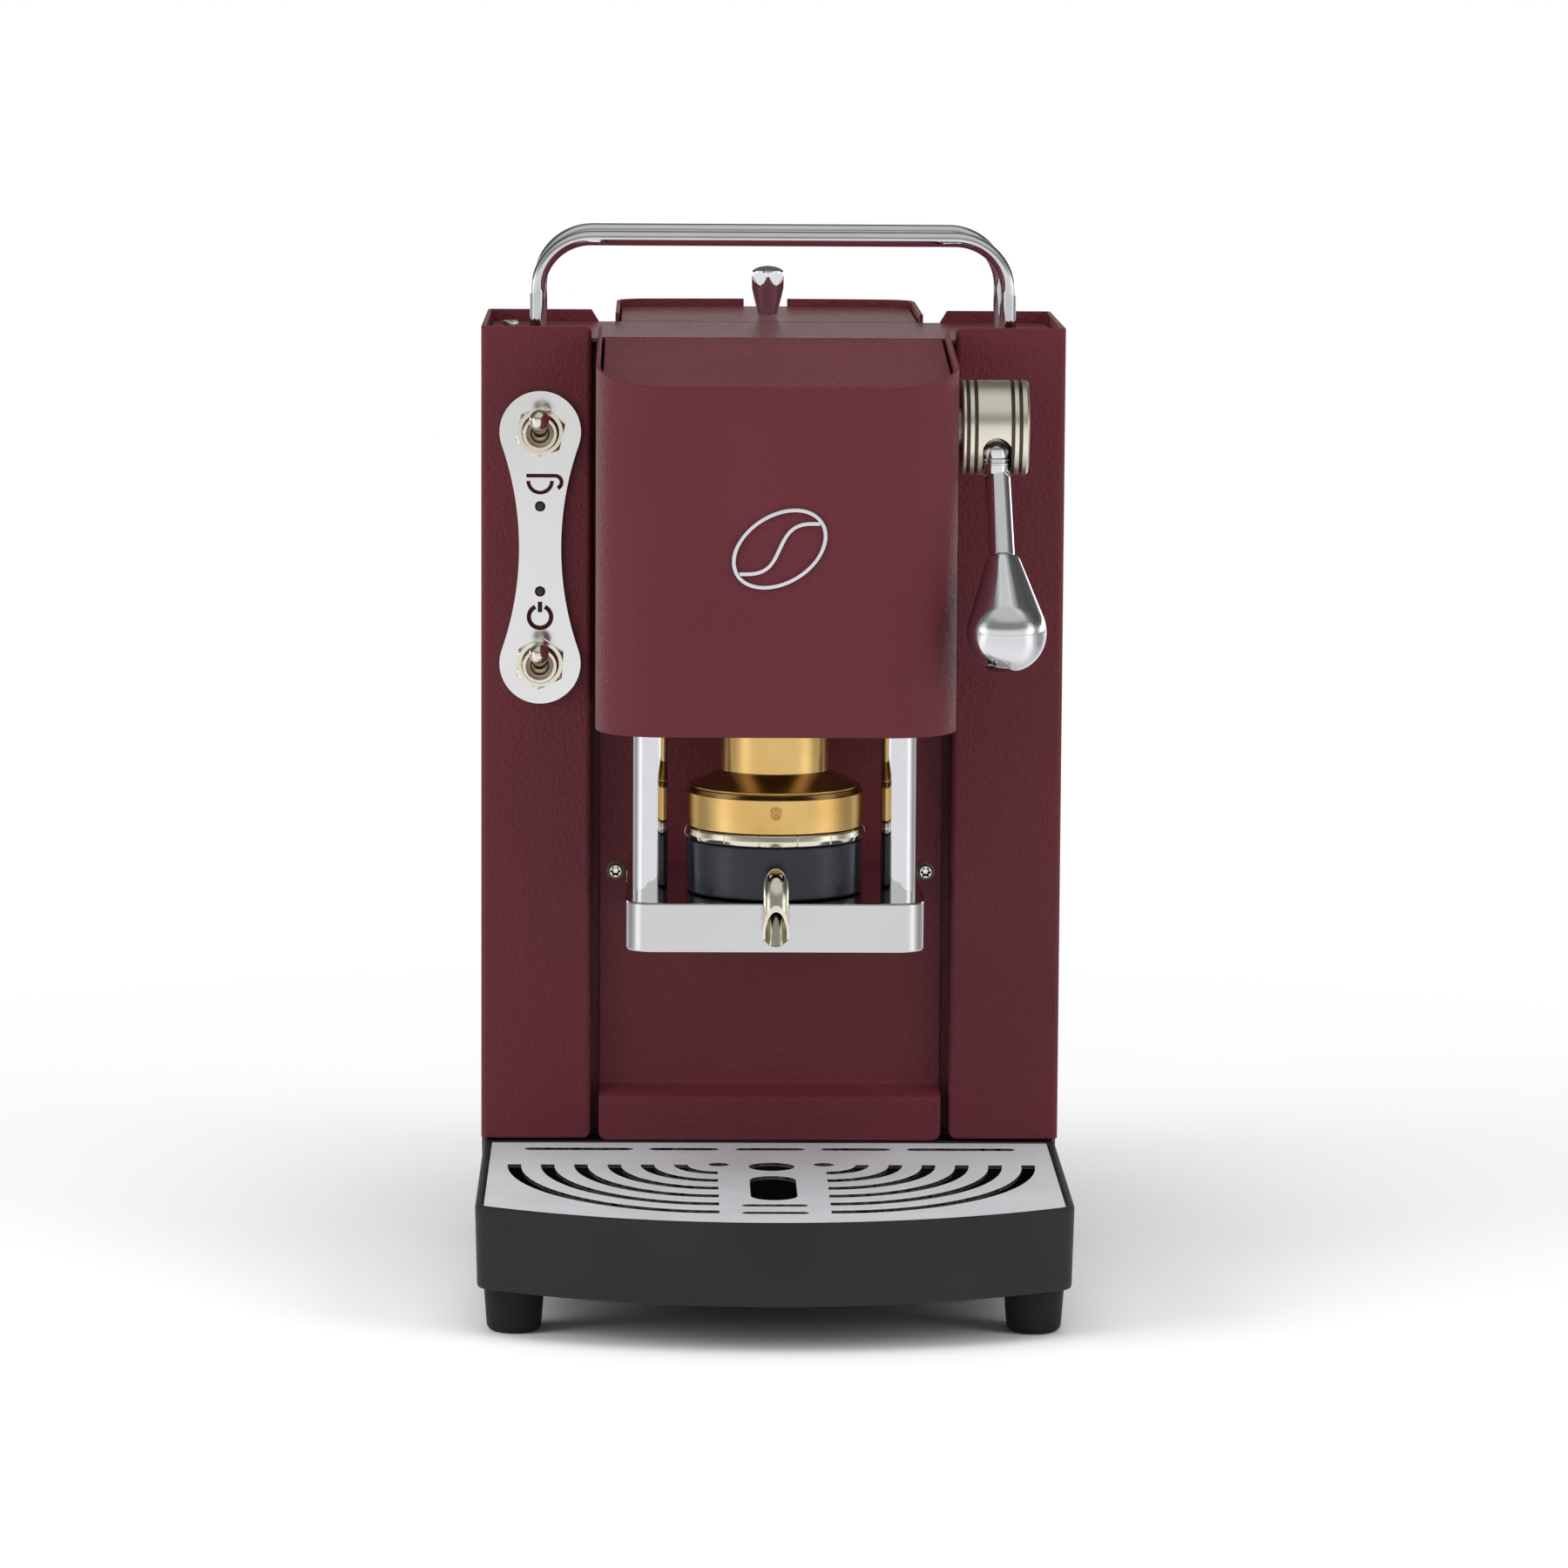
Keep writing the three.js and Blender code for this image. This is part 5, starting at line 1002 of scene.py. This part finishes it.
# %% Knob of the lever
BALL, BALL_AT = 12.7, 70.0  # radius of the ball and its place along the arm
KNOB_AT, ROUND = 45.0, 1.6  # where the knob starts, and the rounding there
reach, shoulder = BALL_AT - KNOB_AT - ROUND, 5.9
cone_angle = math.asin(BALL / math.hypot(reach, shoulder)) - math.atan2(shoulder, reach)
ball = arc(0, 0, BALL, -cone_angle, QUARTER, 40) + (0, BALL_AT)
neck_round = arc(4.3, KNOB_AT + ROUND, ROUND, -QUARTER, -cone_angle, 10)
cone = np.linspace(neck_round[-1], ball[0], 12)
teardrop = np.concatenate([[(0, KNOB_AT)], neck_round[:-1], cone[:-1], ball[:-1],
                           [(0, BALL_AT + BALL)]])
lathe("lever_teardrop", teardrop, ARM_ROOT, "lever", chrome, axis=ARM, steps=96,
      stands_for="lever_knob")

# %% [markdown]
# ## Control plate, lamps and pictograms
# A polished plate with two round ends carries both toggle switches and two pin lamps. Its
# pictograms, a cup and a power sign, are cut through, so the paint shows dark inside them.
# Each is one more hole in the outline; a hook or an open ring is a band along an arc.

# %% Control plate
PLATE_X, UPPER, LOWER = -75.7, 275.75, 200.15
LAMPS = (("upper", 251.5), ("lower", 223.7))
CUP_SIGN, POWER_SIGN = (PLATE_X, 259.83), (PLATE_X, 215.37)


def bone_outline(radius=13.3, waist=6.9):
    """Two end circles joined by concave arcs tangent to both."""
    reach = (UPPER - LOWER) / 2
    side_radius = (reach**2 + waist**2 - radius**2) / (2 * (radius - waist))
    side_centre = waist + side_radius
    tangent = math.atan2(-reach, side_centre)
    upper = arc(0, reach, radius, tangent, HALF - tangent, 44)
    left = arc(-side_centre, 0, side_radius, -tangent, tangent, 24)[1:-1]
    half = np.concatenate([upper, left])
    return np.concatenate([half, -half]) + (PLATE_X, (UPPER + LOWER) / 2)


hook = np.concatenate([[(-4.4, 1.67), (0.0, 1.67)], arc(4.85, -0.43, 2.1, QUARTER, -HALF * 0.36, 18)])
pictograms = [
    band(hook, 1.12) + CUP_SIGN,
    band(arc(0, 0, 3.85, -HALF * 0.995, -HALF * 0.005, 28), 1.1) + CUP_SIGN,
    band(arc(0, 0, 3.63, math.radians(116), math.radians(424), 44), 1.3) + POWER_SIGN,
    band(np.array([(0, 1.57), (0, 4.88)]), 1.3) + POWER_SIGN,
]
bone_holes = [circle(PLATE_X, z, 6.0, 32) for z in (UPPER, LOWER)]
bone_holes += [circle(PLATE_X, z, 1.65, 32) for _, z in LAMPS]
plate("control_badge", bone_outline(), bone_holes + pictograms, -1.5, -0.3, "machine", plate_steel,
      edge=0.12, flat="y", stands_for="control_plate")
lens_line = profile((0, -6.0), (1.45, -6.0), (1.45, 1.1, 0.3), (0, 1.3))
for label, z in LAMPS:
    lathe(f"lens_{label}", lens_line, (PLATE_X, 0, z), "machine", lens_plastic, axis="-y", steps=32,
          stands_for=f"lamp_{label}")

# %% [markdown]
# ## Toggle switches
# A threaded bushing comes through the plate, held by a hexagon nut. Inside its mouth sits a
# fibre washer, and the bat leaves the opening and ends in a small ball.


# %% Nuts
def hexagon_nut(name, centre, turn, node_name, flat=7.35):
    """A hexagon with its corners turned down: the smaller of the hexagon and a chamfer cone."""
    angle = all_round(96)
    limit = np.array([8.2, 8.5, 8.5, 8.05, 7.4])[:, None]
    outer = np.minimum(flat / np.cos(from_flat(angle, turn)), limit)
    inner = np.array([6.15, 5.85, 5.85, 6.2])[:, None] * np.ones_like(angle)
    height = np.array([1.85, 2.2, 3.6, 4.0, 4.3, 4.3, 3.9, 2.2, 1.85])[:, None]
    grid = polar(np.concatenate([outer, inner]), angle, height) @ AXIS["-y"] + centre
    return loft(name, grid, "machine", nickel, closed=True, sharp=18, stands_for=node_name)


# %% Toggle switches
thread = [(5.75 if i % 2 else 5.6, y) for i, y in enumerate(np.linspace(4.6, 9.9, 22))]
tube = [(0, -12.0), (5.6, -12.0), (5.7, 4.2), *thread, (5.7, 10.2), (5.5, 10.5), (4.6, 10.5),
        (4.45, 10.35), (4.45, 8.5), (3.75, 8.5), (3.75, 1.9), (0, 1.9)]
washer = profile((3.1, 8.55, 0.1), (4.4, 8.55, 0.1), (4.4, 9.0, 0.1), (3.1, 9.0, 0.1), closed=True)
BAT_ROOT, BAT_TIP = 3.4, 3.2  # radii of the balls at both ends
BAT_LENGTH, BAT_AT = 19.0, -6.0  # from ball to ball, and how deep the pivot lies
SHAFT_THIN, SHAFT_THICK = 2.3, 2.5
root = arc(0, 0, BAT_ROOT, -QUARTER, math.acos(SHAFT_THIN / BAT_ROOT), 16)
tip = arc(0, 0, BAT_TIP, -math.acos(SHAFT_THICK / BAT_TIP), QUARTER, 20) + (0, BAT_LENGTH)
shaft = np.linspace((SHAFT_THIN, root[-1, 1]), (SHAFT_THICK, tip[0, 1]), 6)[1:-1]
bat = np.concatenate([[(0, -BAT_ROOT)], root[1:], shaft, tip[:-1], [(0, BAT_LENGTH + BAT_TIP)]])
c, s = math.cos(math.radians(17)), math.sin(math.radians(17))
BAT = np.array([(1.0, 0, 0), (0, -s, -c), (0, -c, s)])  # both bats point 17 degrees above level

for label, z, turn in (("upper", UPPER, math.radians(-13)), ("lower", LOWER, math.radians(-4))):
    centre = (PLATE_X, 0, z)
    lathe(f"bushing_{label}", tube, centre, "machine", nickel, axis="-y", sharp=40,
          stands_for=f"switch_{label}")
    lathe(f"washer_{label}", washer, centre, "machine", tan_fibre, axis="-y")
    hexagon_nut(f"nut_{label}", centre, turn, f"switch_nut_{label}")
    lathe(f"bat_{label}", bat, (PLATE_X, BAT_AT, z), f"{label}_bat", nickel, axis=BAT, steps=40,
          stands_for=f"switch_bat_{label}")

# %% [markdown]
# ## Small screws
# A screw on top of the left column has a socket of four lobes. Two zinc-plated ones with six
# lobes hold the arm's flange through the centre plate, each on a dark disc that is a painted
# shadow round its head. The walls of every socket are painted shade.


# %% Screws
def screw_head(name, radius, height, socket, lobes, centre, axis, node_name, steps=72):
    """A domed head whose middle sinks into a socket: its radius swings with the cosine of the lobes."""
    angle = all_round(steps)
    well = socket * (1 + 0.16 * np.cos(lobes * angle))
    dome = [(0.5, -6.5 / height), (0.5, 0), (0.96, 0), (1, 0.2), (0.98, 0.7), (0.93, 0.92), (0.85, 1)]
    ring = np.array([[radius * r] * steps for r, _ in dome] + [well * 1.08, well, well * 0.6])
    level = height * np.array([h for _, h in dome] + [1, 0.95, 0.1])
    grid = polar(ring, angle, level[:, None]) @ AXIS[axis] + centre
    head = loft(name, grid, "machine", screw_zinc, sharp=35, stands_for=node_name).data
    face = np.arange(len(head.polygons))
    # The socket's walls get the dark finish: painted shade inside the socket.
    second_finish(head, oil_and_painted_shade, (face >= 7 * steps) & (face < 9 * steps))


screw_head("head_top", 2.6, 1.8, 1.3, 4, (-86.6, 59, 306.3), "z", "top_plate_screw")
# A dark disc on the plate round each arm screw: a painted shadow round its head.
painted_shadow_disc = profile((0, -8.6), (3.05, -8.6), (3.05, -7.85, 0.05), (0, -7.85))
arm_screws = [(label, np.array([side * 51, 0, 130.65])) for side, label in SIDES]
for label, place in arm_screws:
    lathe(f"screw_painted_shadow_{label}", painted_shadow_disc, place, "machine", oil_and_painted_shade, axis="-y", steps=40)
for label, place in arm_screws:
    screw_head(f"head_arm_{label}", 2.2, 2.4, 1.4, 6, place + (0, 7.7, 0), "-y", f"arm_screw_{label}")

# %% [markdown]
# ## Pieces that keep their CAD shape
# What is closed in, or plain and flat, keeps its CAD solid and gets its own finish.

# %% Finishes of the carried-over pieces
KEEP = {
    "floor_pan": black_zinc, "water_tank": tank_plastic, "shower_screen": stainless,
    "band_heater": zinc, "head_bridge": polished_alloy, "crosshead": zinc,
    "return_spring_left": zinc, "return_spring_right": zinc, "lever_shaft": zinc,
    "lever_cam": zinc, "shaft_bush_left": brass, "shaft_bush_right": brass,
    "pump": pump_plastic, "pump_cradle": foot_rubber, "suction_hose": silicone,
    "pressure_hose": silicone, "group_hose": silicone, "mains_inlet": inlet_plastic,
}
for node_name, finish in KEEP.items():
    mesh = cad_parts[node_name].data
    mesh.materials.clear()
    mesh.materials.append(finish)
print("kept from the CAD:", len(KEEP), "nodes")

# %% [markdown]
# ## The studio
# A product stands on a pale floor under large soft lamps. What polished metal shows is the
# room itself, so the room is shaped: plain white in front and behind, dim at the sides, with
# a bright strip between for the reflectors. Camera, gloss and clear pieces see that room;
# everything else is only lit by the lamps and by a dimmer, even sky.


# %% Room helpers
def seen_directly(tree):
    """1 for rays from the camera, off gloss and through clear pieces, and the rays' own outputs."""
    rays = node(tree, "LightPath").outputs
    seen = node(tree, "Math", (rays["Is Camera Ray"], rays["Is Glossy Ray"]), operation="MAXIMUM")
    return node(tree, "Math", (seen, rays["Is Transmission Ray"]), operation="MAXIMUM"), rays


def around_the_set(tree, way):
    """Brightness over the azimuth c = -y / |(x, y)|: 1 in front and behind, 0.42 at the sides
    where the studio ends, and 0.4 more in a strip between for the reflectors."""
    flat = node(tree, "VectorMath", (way, (1, 1, 0)), operation="MULTIPLY")
    unit = node(tree, "VectorMath", (flat,), operation="NORMALIZE")
    c = node(tree, "VectorMath", (unit, (0, -1, 0)), operation="DOT_PRODUCT").outputs["Value"]
    front = node(tree, "MapRange", (c, -0.1, 0.3, 0.42, 1.0))
    back = node(tree, "MapRange", (c, -0.85, -0.45, 1.0, 0.42))
    sides = node(tree, "Math", (front, back), operation="MAXIMUM")
    rise = node(tree, "MapRange", (c, 0.2, 0.36, 0.0, 0.4))
    fall = node(tree, "MapRange", (c, 0.5, 0.66, 0.4, 0.0))
    strip = node(tree, "Math", (rise, fall), operation="MINIMUM")
    return node(tree, "Math", (sides, strip), operation="ADD")


def stage_piece(name, points, faces, material):
    """A mesh of the stage, which is no part of the machine."""
    mesh = bpy.data.meshes.new(name)
    mesh.from_pydata(points.tolist(), [], faces)
    mesh.materials.append(material)
    piece = bpy.data.objects.new(name, mesh)
    scene.collection.objects.link(piece)
    return piece


# %% [markdown]
# ## Floor and sky
# Near the machine the floor is a lit surface that takes its shadow. From 16 to 62 cm away
# it fades to the plain white of the background, which only the eye and reflections see.

# %% Floor and sky
WHITE = (1, 1, 1, 1)
FLOOR_HALF = 40.0
material, tree = empty_material("pale studio floor")
seen, rays = seen_directly(tree)
place = node(tree, "TexCoord").outputs["Object"]
distance = node(tree, "VectorMath", (place,), operation="LENGTH").outputs["Value"]
plain = node(tree, "Math", (node(tree, "MapRange", (distance, 0.16, 0.62)), seen), operation="MULTIPLY")
lit = node(tree, "BsdfDiffuse", (linear("#f4f4f4"),))
dimmer = node(tree, "MapRange", (distance, 2.4, 4.2, 1.0, 0.75))
mirrored = node(tree, "Math", (around_the_set(tree, place), dimmer), operation="MULTIPLY")
strength = node(tree, "MapRange", (rays["Is Camera Ray"], 0, 1, mirrored, 1.0))
mix = node(tree, "MixShader", (plain, lit, node(tree, "Emission", (WHITE, strength))))
node(tree, "OutputMaterial", (mix,))
square = np.array([(-1, -1, 0), (1, -1, 0), (1, 1, 0), (-1, 1, 0)]) * FLOOR_HALF
stage_piece("floor", square, [(0, 1, 2, 3)], material)

world = bpy.data.worlds.new("room")
scene.world = world
world.use_nodes = True
tree = world.node_tree
tree.nodes.clear()
strength = node(tree, "MapRange", (seen_directly(tree)[0], 0, 1, 0.48, 1.0))
node(tree, "OutputWorld", (node(tree, "Background", (WHITE, strength)),))

# %% [markdown]
# ## Ceiling
# Half a sphere over the set that only reflections see. It is paler low down and behind the
# machine, where the sweep rises, and carries four soft boxes: two overhead and one at each
# side. Each is given by its direction, the cosines where it is full and where it ends, and
# its strength.

# %% Studio ceiling
SOFT_BOXES = [((0.05, -0.46, 0.88), 0.955, 0.85, 0.4), ((0.0, 0.1, 0.99), 0.99, 0.96, 0.3),
              ((-0.9, -0.42, 0.4), 0.985, 0.93, 0.6), ((0.9, -0.42, 0.35), 0.985, 0.93, 0.7)]


def ceiling_material():
    """Level over height, azimuth and depth, plus the glow of each soft box."""
    material, tree = empty_material("grey studio ceiling")
    material.cycles.emission_sampling = "NONE"
    place = node(tree, "TexCoord").outputs["Object"]
    way = node(tree, "VectorMath", (place,), operation="NORMALIZE")
    parts = node(tree, "SeparateXYZ", (way,)).outputs
    level = node(tree, "MapRange", (parts["Z"], 0.16, 0.32, 1.0, 0.32))
    level = node(tree, "Math", (level, around_the_set(tree, way)), operation="MULTIPLY")
    behind = node(tree, "MapRange", (parts["Y"], 0.1, 0.6, 1.0, 0.45))
    level = node(tree, "Math", (level, behind), operation="MULTIPLY")
    sweep = node(tree, "MapRange", (parts["Y"], 0.1, 0.7, 0.0, 2.6))
    low = node(tree, "MapRange", (parts["Z"], 0.1, 0.2, 1.0, 0.0))
    level = node(tree, "Math", (sweep, low, level), operation="MULTIPLY_ADD")
    wide = node(tree, "Mapping", {"Vector": way, "Scale": (0.55, 1.0, 1.0)})
    way = node(tree, "VectorMath", (wide,), operation="NORMALIZE")
    for towards, full, end, strength in SOFT_BOXES:
        aim = Vector(towards).normalized()
        near = node(tree, "VectorMath", (way, aim), operation="DOT_PRODUCT").outputs["Value"]
        glow = node(tree, "MapRange", (near, end, full, 0.0, strength))
        level = node(tree, "Math", (level, glow), operation="ADD")
    node(tree, "OutputMaterial", (node(tree, "Emission", (linear("#f6faf5"), level)),))
    return material


ROWS, COLUMNS, RADIUS = 24, 48, 6.0
up = np.linspace(0.002, QUARTER - 0.01, ROWS)[:, None]
dome = polar(np.cos(up), all_round(COLUMNS), np.sin(up)) * RADIUS
dome_faces = grid_faces(ROWS, COLUMNS, wrap_columns=True)
ceiling = stage_piece("studio_ceiling", dome.reshape(-1, 3), dome_faces, ceiling_material())
for ray in ("camera", "diffuse", "transmission", "shadow", "volume_scatter"):
    setattr(ceiling, "visible_" + ray, False)

# %% [markdown]
# ## Lamps
# Three large soft lamps: the key from the left, a weaker fill from the right and one from
# above. They are left out of reflections, which the room already shapes.


# %% Lamps
def soft_lamp(name, place, target, size, power):
    """A rectangular area lamp turned towards a point of the machine."""
    data = bpy.data.lights.new(name, "AREA")
    data.shape = "RECTANGLE"
    data.size, data.size_y = size
    data.energy = power
    lamp = bpy.data.objects.new(name, data)
    lamp.location = place
    lamp.rotation_euler = (Vector(target) - Vector(place)).to_track_quat("-Z", "Y").to_euler()
    lamp.visible_glossy = False
    scene.collection.objects.link(lamp)


soft_lamp("key", (-2.0, -0.85, 1.0), (0, 0, 0.12), (1.3, 1.2), 31)
soft_lamp("fill", (1.85, -1.0, 1.0), (0, 0, 0.12), (1.1, 1.3), 20)
soft_lamp("top", (0.0, -0.4, 1.9), (0, 0, 0.15), (1.6, 1.6), 17)
print("lamps set")
